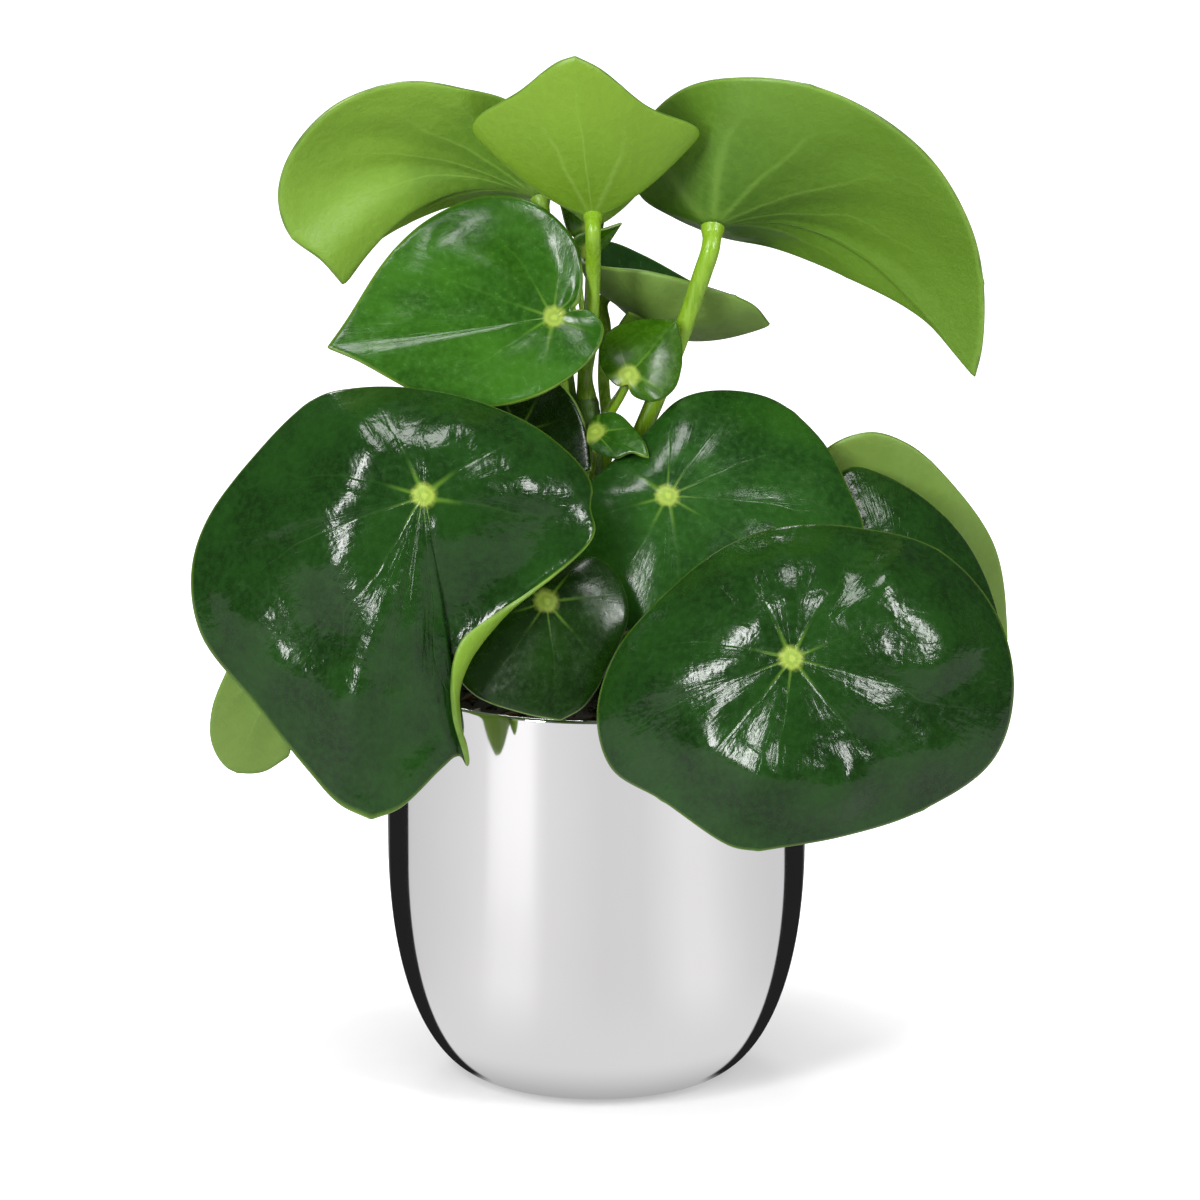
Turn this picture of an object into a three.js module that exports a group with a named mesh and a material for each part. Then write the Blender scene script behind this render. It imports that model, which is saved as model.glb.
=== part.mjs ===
// Peperomia in a round-bellied chrome pot.
// Millimetres, +Z up, origin at the centre of the pot's flat underside, seen from the front along +Y.
//
// The pot is a thin shell that holds the soil. One upright stem stands in the soil. Each leaf is a
// shield-shaped blade held near its middle, at the hub, by its own petiole (leaf stalk). The petioles
// spring from the stem at different heights and all around it. Pieces that touch keep a hair gap.

import * as THREE from 'three';

const CONTACT_GAP = 0.3;

// Pot: a belly that rises from a flat foot as a superellipse, then an almost straight wall.
const POT_HEIGHT = 119.5;
const POT_FOOT_RADIUS = 30;
const POT_BELLY_HEIGHT = 70;
const POT_BELLY_RADIUS = 60;
const POT_RIM_RADIUS = 60.6;
const POT_BELLY_POWER = 2.2;
const POT_WALL = 1.8;
const POT_FLOOR = 2.5;
const POT_SIDES = 40;
const BELLY_STEPS = 7;

// Soil: a plug that fills the shell to just below the rim, a little higher round the stem.
const SOIL_EDGE_DROP = 4.5;
const SOIL_CROWN = 2;
const SOIL_SIDES = 32;

// Stem: upright, leaning a little to the left as it rises.
const STEM_RADIUS = 4.2;
const STEM_FOOT_Z = 100;
const STEM_TOP_Z = 201;
const STEM_LEAN = 3;
const STEM_STEPS = 8;
const STEM_SIDES = 12;

// Leaf blades and petioles.
const BLADE_THICKNESS = 1.6;
const YOUNG_BLADE_THICKNESS = 1.1;
const BLADE_RINGS = 3;
const SPOKES_PER_RIM_POINT = 2;
const BLADE_DOME_POWER = 2;
const PETIOLE_SIDES = 8;
const PETIOLE_STEPS = 9;
const PETIOLE_SHEATH = 4;
const PETIOLE_NECK = 5;

// Each leaf lists its hub, and its rim from the pointed tip round to the tip again, anticlockwise
// as seen from the upper side. "facing" is the upper side's direction where the blade is too curled
// for the rim to give it, and "bow" lifts the blade between hub and rim, as a share of its reach.
// "petiole" says where on the stem the stalk starts (angle from +X, height), how thick it is, and
// the points that it passes on its way to the hub.
const LEAVES = [
  {
    name: 'top_left',
    hub: [-16, 12, 254],
    facing: [-0.12, 0.6, 0.79],
    bow: 0.16,
    rim: [
      [-72, 0, 231], [-78, -4, 239], [-87, -6, 247], [-90, -8, 259], [-86, -10, 272],
      [-73, -12, 286], [-54, -10, 292], [-38, -4, 289], [-24, 6, 283], [-12, 16, 270],
      [-10, 24, 254], [-19, 25, 250], [-36, 22, 251], [-53, 16, 246], [-66, 8, 239],
    ],
    petiole: { angle: 128, height: 186, radius: 2.3, via: [[-10, 5, 213], [-14, 6, 236]] },
  },
  {
    name: 'top_centre',
    hub: [-1, -6, 253],
    facing: [0, 0.74, 0.67],
    rim: [
      [-6, -27, 303], [1, -25, 299], [14, -18, 287], [29, -6, 277], [20, 0, 269], [10, 6, 256],
      [-1, 10, 248], [-11, 6, 257], [-24, 0, 267], [-35, -8, 279], [-21, -20, 292],
      [-11, -26, 301],
    ],
    petiole: { fromTop: true, radius: 2.2, via: [[-2, -2, 215], [-1, -5, 236]] },
  },
  {
    name: 'top_right',
    hub: [33, 6, 247],
    facing: [0.1, 0.62, 0.78],
    bow: 0.14,
    rim: [
      [108, 8, 202], [94, 16, 217], [72, 24, 228], [52, 26, 236], [36, 30, 239], [22, 30, 245],
      [12, 26, 253], [13, 16, 273], [24, 4, 287], [40, -8, 293], [60, -14, 292],
      [78, -14, 284], [95, -10, 269], [106, -4, 249], [110, 2, 231], [110, 6, 212],
    ],
    petiole: {
      angle: 8,
      height: 168,
      radius: 2.7,
      via: [[13, 3, 188], [24, 3, 216], [30, 2, 234]],
    },
  },
  {
    name: 'mid_left',
    hub: [-12, -14, 225],
    rim: [
      [-76, -26, 219], [-68, -28, 216], [-48, -31, 206], [-30, -31, 203], [-14, -29, 207],
      [-1, -24, 216], [2, -18, 223], [-2, -14, 227], [-7, -13, 227], [-5, -12, 230],
      [-4, -8, 237], [-7, -2, 246], [-18, 6, 254], [-32, 9, 255], [-47, 4, 250],
      [-59, -6, 241], [-71, -20, 225],
    ],
    petiole: { angle: 180, height: 184, radius: 2, via: [[-10, -1, 203], [-13, -5, 214]] },
  },
  {
    name: 'low_left',
    hub: [-48, -66, 186],
    rim: [
      [-63, -76, 95], [-55, -75, 98], [-45, -72, 107], [-37, -67, 115], [-39, -67, 126],
      [-39, -68, 140], [-29, -66, 160], [-6, -58, 176], [-1, -52, 185], [-13, -46, 198],
      [-30, -42, 206], [-49, -39, 210], [-68, -38, 210], [-79, -38, 207], [-97, -40, 190],
      [-110, -42, 172], [-114, -46, 158], [-111, -52, 142], [-96, -62, 125], [-81, -70, 108],
      [-72, -74, 99],
    ],
    petiole: {
      angle: 222,
      height: 122,
      radius: 1.9,
      via: [[-13, -22, 152], [-18, -32, 162], [-32, -44, 175], [-44, -56, 182]],
    },
  },
  {
    name: 'low_right',
    hub: [54, -88, 145],
    rim: [
      [45, -94, 91], [69, -89, 94], [91, -80, 99], [111, -71, 111], [117, -63, 129],
      [112, -57, 150], [96, -53, 167], [75, -52, 173], [54, -53, 174], [36, -57, 169],
      [18, -64, 156], [5, -68, 141], [0, -72, 124], [4, -76, 110], [18, -84, 103],
      [37, -92, 92],
    ],
    petiole: {
      angle: 315,
      height: 118,
      radius: 2.3,
      via: [[16, -24, 127], [32, -48, 127], [44, -66, 131], [52, -79, 138]],
    },
  },
  {
    name: 'mid_right',
    hub: [20, -30, 177],
    rim: [
      [26, -50, 132], [54, -44, 139], [72, -32, 152], [76, -20, 164], [72, -12, 174],
      [64, -4, 187], [51, 2, 197], [37, 2, 200], [24, -4, 199], [14, -12, 191], [3, -20, 183],
      [-7, -28, 174], [-10, -34, 161], [0, -40, 149], [12, -46, 139],
    ],
    petiole: { angle: 310, height: 146, radius: 2, via: [[9, -10, 160], [18, -20, 170]] },
  },
  {
    name: 'low_middle',
    hub: [-14, -56, 153],
    rim: [
      [-10, -66, 121], [-3, -64, 125], [4, -59, 136], [9, -53, 148], [6, -47, 158],
      [-1, -45, 163], [-14, -47, 159], [-28, -51, 158], [-38, -55, 150], [-41, -59, 137],
      [-35, -62, 128], [-21, -65, 123],
    ],
    petiole: { angle: 262, height: 120, radius: 1.6, via: [[-4, -20, 139], [-12, -44, 147]] },
  },
  {
    name: 'right_light',
    hub: [88, 12, 148],
    rim: [
      [104, 26, 102], [88, 26, 105], [73, 24, 118], [65, 18, 137], [63, 10, 160], [64, 4, 181],
      [77, 2, 188], [89, 4, 184], [102, 8, 171], [114, 14, 152], [118, 20, 131],
      [117, 26, 113],
    ],
    petiole: { angle: 20, height: 120, radius: 1.9, via: [[30, 6, 140], [62, 4, 148], [84, 4, 146]] },
  },
  {
    name: 'right_dark',
    hub: [86, -28, 149],
    rim: [
      [96, -36, 122], [108, -32, 126], [114, -26, 134], [112, -16, 145], [105, -8, 158],
      [94, -4, 169], [81, 0, 176], [72, 0, 178], [64, -8, 170], [62, -22, 153], [68, -32, 137],
      [80, -36, 125],
    ],
    petiole: {
      angle: 345,
      height: 134,
      radius: 1.9,
      via: [[32, -6, 146], [62, -12, 147], [82, -20, 145]],
    },
  },
  {
    name: 'left_light',
    hub: [-86, 8, 122],
    rim: [
      [-89, 20, 87], [-97, 21, 82], [-106, 20, 83], [-111, 18, 91], [-111, 15, 102],
      [-106, 10, 116], [-98, 4, 131], [-85, 0, 140], [-70, 0, 139], [-62, 4, 128],
      [-64, 10, 111], [-77, 15, 102], [-85, 18, 96], [-89, 19, 92],
    ],
    petiole: {
      angle: 185,
      height: 120,
      radius: 1.7,
      via: [[-30, -4, 142], [-60, -8, 138], [-82, -2, 123]],
    },
  },
  {
    name: 'back_right',
    hub: [4, 30, 223],
    facing: [0.5, 0.12, 0.86],
    bow: -0.14,
    rim: [
      [50, 26, 214], [43, 46, 215], [30, 58, 218], [15, 60, 226], [4, 54, 232], [-2, 44, 233],
      [-4, 28, 232], [2, 16, 233], [15, 10, 233], [31, 9, 229], [44, 14, 223],
    ],
    petiole: { angle: 30, height: 178, radius: 1.7, via: [[2, 17, 200], [2.5, 27, 213]] },
  },
  {
    name: 'back_top',
    hub: [-2, 27, 243],
    rim: [
      [2, 22, 266.5], [-6, 18, 264], [-11, 16, 254], [-10, 19, 249], [-8, 22, 242],
      [-3, 25, 237.5], [1, 28, 239], [2.5, 32, 245], [7.5, 30, 254], [8.5, 26, 261.5],
    ],
    young: true,
    petiole: { angle: 68, height: 184, radius: 1.2, via: [[-4, 14, 205], [-8, 24, 225], [-9, 31, 237]] },
  },
  {
    name: 'back_point',
    hub: [-2, 18, 238],
    rim: [
      [7.5, 20, 245], [1, 17, 243.5], [-5.5, 14, 242.5], [-7.5, 13, 239.5], [-5.5, 16, 236],
      [-1.5, 20, 234.5], [2, 20, 237],
    ],
    young: true,
    petiole: { angle: 96, height: 192, radius: 0.9, via: [[-3, 10, 212], [-5, 20, 228], [-5, 23, 236]] },
  },
  {
    name: 'young_upper',
    hub: [9, -11.5, 207.5],
    rim: [
      [23, -3, 221.5], [14.5, 2, 221], [6, 2, 219], [1.5, -2, 215.5], [1, -8, 210],
      [6, -12, 204.5], [9, -12, 205], [10.5, -13, 202], [16.5, -14, 200.5], [22.5, -9, 203.5],
      [24.5, -3, 213],
    ],
    young: true,
    petiole: { angle: 310, height: 186, radius: 1.1, via: [[5, -7, 197], [8, -9, 203]] },
  },
  {
    name: 'young_lower',
    hub: [-0.5, -14, 191.5],
    rim: [
      [15, -24, 186.5], [14, -20, 189.5], [10.5, -14, 193], [5.5, -9, 196], [-0.5, -9, 195],
      [-2.5, -13, 191], [-2, -16, 188], [5.5, -21, 185.5], [10, -22, 187.5],
    ],
    young: true,
    petiole: { angle: 270, height: 172, radius: 1.1, via: [[-1, -9, 182]] },
  },
  {
    name: 'centre_left',
    hub: [-22, -2, 189],
    rim: [
      [-1, -16, 181], [-2, -11, 189], [-6, -7, 199], [-12, -4, 205], [-22, 2, 207],
      [-33, 6, 203], [-40, 6, 196], [-42, 0, 187], [-39, -8, 179], [-27, -14, 175],
      [-12, -17, 176],
    ],
    petiole: { angle: 180, height: 160, radius: 1.6, via: [[-13, 2, 173], [-20, 3, 181]] },
  },
  {
    name: 'back_small',
    hub: [10.5, 22, 208.5],
    rim: [
      [9, 16, 220], [13.5, 18, 217.5], [17, 22, 210], [16, 26, 202], [10, 28, 199.5],
      [6, 24, 205.5], [6, 18, 214.5],
    ],
    young: true,
    petiole: { angle: 355, height: 190, radius: 1.1, via: [[8, 8, 200], [10, 17, 206]] },
  },
  {
    name: 'rear_left',
    hub: [-61, 34, 148],
    rim: [
      [-78, 58, 97], [-89, 52, 114], [-97, 44, 134], [-94, 32, 158], [-79, 24, 177],
      [-59, 20, 184], [-42, 22, 178], [-31, 28, 161], [-31, 36, 142], [-43, 46, 118],
      [-60, 54, 102],
    ],
    petiole: { angle: 140, height: 120, radius: 2, via: [[-20, 12, 140], [-45, 22, 147], [-60, 27, 146]] },
  },
  {
    name: 'rear_right',
    hub: [43, 40, 153],
    rim: [
      [51, 66, 104], [36, 62, 109], [18, 54, 125], [10, 44, 144], [15, 34, 166], [33, 26, 180],
      [51, 26, 180], [66, 30, 167], [71, 38, 147], [69, 50, 126], [61, 60, 110],
    ],
    petiole: { angle: 60, height: 120, radius: 2, via: [[14, 14, 138], [32, 26, 149], [42, 33, 151]] },
  },  {
    name: 'rear_upper',
    hub: [-36, 34, 219],
    rim: [
      [-51, 50, 188], [-63, 46, 199], [-66, 38, 215], [-59, 30, 232], [-45, 25, 242],
      [-28, 26, 241], [-15, 31, 231], [-10, 38, 215], [-15, 44, 201], [-28, 49, 190],
      [-41, 51, 186],
    ],
    petiole: {
      angle: 140,
      height: 156,
      radius: 1.8,
      via: [[-12, 10, 176], [-26, 22, 202], [-34, 29, 214]],
    },
  },
];

const leafGreen = () => new THREE.MeshStandardMaterial({ color: 0x1f5a1c, roughness: 0.3 });
const youngGreen = () => new THREE.MeshStandardMaterial({ color: 0x5f9a1e, roughness: 0.35 });
const petioleGreen = () => new THREE.MeshStandardMaterial({ color: 0x7fa53a, roughness: 0.45 });
const stemGreen = () => new THREE.MeshStandardMaterial({ color: 0x2c4a1a, roughness: 0.5 });
const soilBrown = () => new THREE.MeshStandardMaterial({ color: 0x2b2019, roughness: 0.95 });
const chrome = () => new THREE.MeshStandardMaterial({ color: 0xe6e6e8, roughness: 0.12, metalness: 1 });

const vector = ([x, y, z]) => new THREE.Vector3(x, y, z);

/** Radius of the pot's outside at height z. */
function potRadius(z) {
  if (z >= POT_BELLY_HEIGHT) {
    const rise = (z - POT_BELLY_HEIGHT) / (POT_HEIGHT - POT_BELLY_HEIGHT);
    return POT_BELLY_RADIUS + (POT_RIM_RADIUS - POT_BELLY_RADIUS) * rise;
  }
  const below = 1 - z / POT_BELLY_HEIGHT;
  const swell = (1 - below ** POT_BELLY_POWER) ** (1 / POT_BELLY_POWER);
  return POT_FOOT_RADIUS + (POT_BELLY_RADIUS - POT_FOOT_RADIUS) * swell;
}

/** Heights up the belly, closer together near the foot where it curves most. */
function bellyHeights(from) {
  const heights = [];
  for (let i = 0; i <= BELLY_STEPS; i++) {
    const share = 1 - Math.cos((Math.PI / 2) * (i / BELLY_STEPS));
    heights.push(from + (POT_BELLY_HEIGHT - from) * share);
  }
  return heights;
}

/** A solid of revolution about +Z from an (r, z) profile. */
function turned(profile, sides) {
  const points = profile.map(([r, z]) => new THREE.Vector2(r, z));
  return new THREE.LatheGeometry(points, sides).rotateX(Math.PI / 2);
}

function potGeometry() {
  const outside = bellyHeights(0).map((z) => [potRadius(z), z]);
  const inside = bellyHeights(POT_FLOOR).map((z) => [potRadius(z) - POT_WALL, z]);
  const lip = [
    [POT_RIM_RADIUS, POT_HEIGHT - POT_WALL / 2],
    [POT_RIM_RADIUS - POT_WALL / 4, POT_HEIGHT],
    [POT_RIM_RADIUS - (3 * POT_WALL) / 4, POT_HEIGHT],
    [POT_RIM_RADIUS - POT_WALL, POT_HEIGHT - POT_WALL / 2],
  ];
  return turned([[0, 0], ...outside, ...lip, ...inside.reverse(), [0, POT_FLOOR]], POT_SIDES);
}

function soilGeometry() {
  const floor = POT_FLOOR + CONTACT_GAP;
  const edge = POT_HEIGHT - SOIL_EDGE_DROP;
  const inset = POT_WALL + 2 * CONTACT_GAP;
  const side = bellyHeights(floor).map((z) => [potRadius(z) - inset, z]);
  const socket = STEM_RADIUS + CONTACT_GAP + 0.2;
  const profile = [
    [0, floor],
    ...side,
    [potRadius(edge) - inset, edge],
    [POT_BELLY_RADIUS / 2, edge + SOIL_CROWN / 2],
    [socket, edge + SOIL_CROWN],
    [socket, STEM_FOOT_Z - CONTACT_GAP],
    [0, STEM_FOOT_Z - CONTACT_GAP],
  ];
  return turned(profile, SOIL_SIDES);
}

/** The stem's centre line, which leans further the higher it is. */
class StemLine extends THREE.Curve {
  getPoint(t, target = new THREE.Vector3()) {
    return target.set(-STEM_LEAN * t * t, 0, STEM_FOOT_Z + (STEM_TOP_Z - STEM_FOOT_Z) * t);
  }
}

const stemLine = new StemLine();
const stemPointAt = (z) => stemLine.getPoint((z - STEM_FOOT_Z) / (STEM_TOP_Z - STEM_FOOT_Z));

/** A round solid bar along a curve. */
function bar(curve, radius, sides, steps) {
  const corners = [];
  for (let i = 0; i < sides; i++) {
    const turn = (2 * Math.PI * i) / sides;
    corners.push(new THREE.Vector2(radius * Math.cos(turn), radius * Math.sin(turn)));
  }
  const section = new THREE.Shape(corners);
  return new THREE.ExtrudeGeometry(section, { steps, extrudePath: curve, bevelEnabled: false });
}

/** The upper side's direction: the rim's own plane, unless the leaf states it. */
function bladeNormal({ rim, facing }) {
  if (facing) return vector(facing).normalize();
  const normal = new THREE.Vector3();
  rim.forEach((point, i) => {
    normal.add(vector(point).cross(vector(rim[(i + 1) % rim.length])));
  });
  return normal.normalize();
}

/** A blade: spokes run from the hub to the rim, and the sheet between them is given a thickness. */
function bladeGeometry(leaf, thickness) {
  const hub = vector(leaf.hub);
  const normal = bladeNormal(leaf);
  const outline = new THREE.CatmullRomCurve3([...leaf.rim, leaf.rim[0]].map(vector), false, 'centripetal');
  const spokes = leaf.rim.length * SPOKES_PER_RIM_POINT;
  const reach = outline.getPoints(spokes).slice(0, spokes).map((point) => point.sub(hub));

  const positions = [];
  for (const side of [1, -1]) {
    const offset = normal.clone().multiplyScalar((side * thickness) / 2);
    positions.push(...hub.clone().add(offset).toArray());
    for (let ring = 1; ring <= BLADE_RINGS; ring++) {
      const t = ring / BLADE_RINGS;
      for (const spoke of reach) {
        const height = spoke.dot(normal);
        const flat = spoke.clone().addScaledVector(normal, -height);
        const lift = height * t ** BLADE_DOME_POWER + 4 * t * (1 - t) * (leaf.bow ?? 0) * flat.length();
        const point = hub.clone().addScaledVector(flat, t).addScaledVector(normal, lift).add(offset);
        positions.push(...point.toArray());
      }
    }
  }

  const sideSize = 1 + BLADE_RINGS * spokes;
  const at = (side, ring, spoke) => side * sideSize + 1 + (ring - 1) * spokes + (spoke % spokes);
  const triangles = [];
  const face = (side, a, b, c) => triangles.push(...(side === 0 ? [a, b, c] : [a, c, b]));
  for (let s = 0; s < spokes; s++) {
    for (const side of [0, 1]) {
      face(side, side * sideSize, at(side, 1, s), at(side, 1, s + 1));
      for (let ring = 1; ring < BLADE_RINGS; ring++) {
        face(side, at(side, ring, s), at(side, ring + 1, s), at(side, ring + 1, s + 1));
        face(side, at(side, ring, s), at(side, ring + 1, s + 1), at(side, ring, s + 1));
      }
    }
    const [a, b] = [at(0, BLADE_RINGS, s), at(0, BLADE_RINGS, s + 1)];
    const [c, d] = [at(1, BLADE_RINGS, s), at(1, BLADE_RINGS, s + 1)];
    triangles.push(a, c, d, a, d, b);
  }
  const geometry = new THREE.BufferGeometry();
  geometry.setAttribute('position', new THREE.Float32BufferAttribute(positions, 3));
  geometry.setIndex(triangles);
  geometry.computeVertexNormals();
  return geometry;
}

/** A petiole: it leaves the stem upwards, passes its points, and meets the blade's underside square on. */
function petioleGeometry(leaf, thickness) {
  const { angle, height, radius, via, fromTop } = leaf.petiole;
  const normal = bladeNormal(leaf);
  const dip = Math.max(0, -4 * (leaf.bow ?? 0)) * radius;
  const end = vector(leaf.hub).addScaledVector(normal, -(thickness / 2 + 2 * CONTACT_GAP + dip));
  const neck = end.clone().addScaledVector(normal, -PETIOLE_NECK * (radius / 2));

  const start = stemPointAt(fromTop ? STEM_TOP_Z + CONTACT_GAP : height);
  if (!fromTop) {
    const turn = THREE.MathUtils.degToRad(angle);
    const stand = STEM_RADIUS + radius + 2 * CONTACT_GAP;
    start.add(new THREE.Vector3(Math.cos(turn), Math.sin(turn), 0).multiplyScalar(stand));
  }
  const sheath = start.clone().add(new THREE.Vector3(0, 0, PETIOLE_SHEATH));
  const route = [start, sheath, ...via.map(vector), neck, end];
  const curve = new THREE.CatmullRomCurve3(route, false, 'centripetal');
  return bar(curve, radius, PETIOLE_SIDES, PETIOLE_STEPS);
}

function piece(name, geometry, material) {
  const mesh = new THREE.Mesh(geometry, material);
  mesh.name = name;
  return mesh;
}

const plant = new THREE.Group();
plant.add(piece('pot', potGeometry(), chrome()));
plant.add(piece('soil', soilGeometry(), soilBrown()));
plant.add(piece('stem', bar(stemLine, STEM_RADIUS, STEM_SIDES, STEM_STEPS), stemGreen()));
for (const leaf of LEAVES) {
  const thickness = leaf.young ? YOUNG_BLADE_THICKNESS : BLADE_THICKNESS;
  const green = leaf.young ? youngGreen() : leafGreen();
  plant.add(piece(`leaf_${leaf.name}`, bladeGeometry(leaf, thickness), green));
  plant.add(piece(`petiole_${leaf.name}`, petioleGeometry(leaf, thickness), petioleGreen()));
}

export default plant;
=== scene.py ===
import math
import random

import bpy
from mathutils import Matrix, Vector, noise


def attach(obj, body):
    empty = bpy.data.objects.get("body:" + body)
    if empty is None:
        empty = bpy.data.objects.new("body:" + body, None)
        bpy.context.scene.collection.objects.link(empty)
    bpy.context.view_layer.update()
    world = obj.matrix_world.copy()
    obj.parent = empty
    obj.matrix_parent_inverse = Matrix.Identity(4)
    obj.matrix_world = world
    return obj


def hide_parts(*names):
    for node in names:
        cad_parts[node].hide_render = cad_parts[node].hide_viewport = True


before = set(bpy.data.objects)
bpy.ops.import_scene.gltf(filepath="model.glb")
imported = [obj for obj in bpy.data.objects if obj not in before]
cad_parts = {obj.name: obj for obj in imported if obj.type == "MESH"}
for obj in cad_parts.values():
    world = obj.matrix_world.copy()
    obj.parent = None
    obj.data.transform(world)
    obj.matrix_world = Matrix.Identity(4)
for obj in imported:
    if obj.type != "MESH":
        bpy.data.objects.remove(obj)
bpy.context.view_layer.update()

# Peperomia in a round-bellied chrome pot. The tables are in millimetres, as the part's source is.
MM = 0.001

POT_HEIGHT = 119.5
POT_FOOT_RADIUS = 30.0
POT_BELLY_HEIGHT = 70.0
POT_BELLY_RADIUS = 60.0
POT_RIM_RADIUS = 60.6
POT_BELLY_POWER = 2.2
POT_WALL = 1.8
POT_FLOOR = 2.5
POT_SIDES = 96

SOIL_EDGE = 115.0
SOIL_CROWN = 2.0
SOIL_SIDES = 120

STEM_FOOT_Z = 100.0
STEM_TOP_Z = 201.0
STEM_LEAN = 3.0
STEM_RADIUS = 4.2
STALK_SHEATH = 4.0
STALK_NECK = 5.0

BLADE_THICKNESS = 1.6
YOUNG_BLADE_THICKNESS = 1.1
PLANE_SPAN = 0.2  # metres across a blade's plane map
CRUMBS = 560

# Floor's glow to the camera at the pot's foot, dimmed there as painted shadow.
FLOOR_GLOW_IN_PAINTED_SHADOW = 0.35
FLOOR_BOUNCE = 0.22
WORLD_LIGHT = 0.26
WORLD_MIRRORED = 0.10

# Painted reflection: how bright the floor is painted for glossy rays, which the chrome mirrors, at each
# bearing from the front, left being positive.
PAINTED_REFLECTION_BY_BEARING = [
    (-120, 0.66), (-100, 0.67), (-82, 0.71), (-68, 0.77), (-55, 0.84), (-44, 0.84), (-34, 0.78),
    (-22, 0.71), (-4, 0.70), (12, 0.745), (24, 0.78), (31, 0.88), (38, 0.91), (48, 0.89),
    (58, 0.79), (70, 0.74), (90, 0.69), (120, 0.63),
]

PLANT_MIDDLE = Vector((0, 0, 0.16))
CAMERA_ELEVATION = 14.5
CAMERA_DISTANCE = 2.857
CAMERA_AIM = Vector((0.001, 0.0, 0.139))

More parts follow.
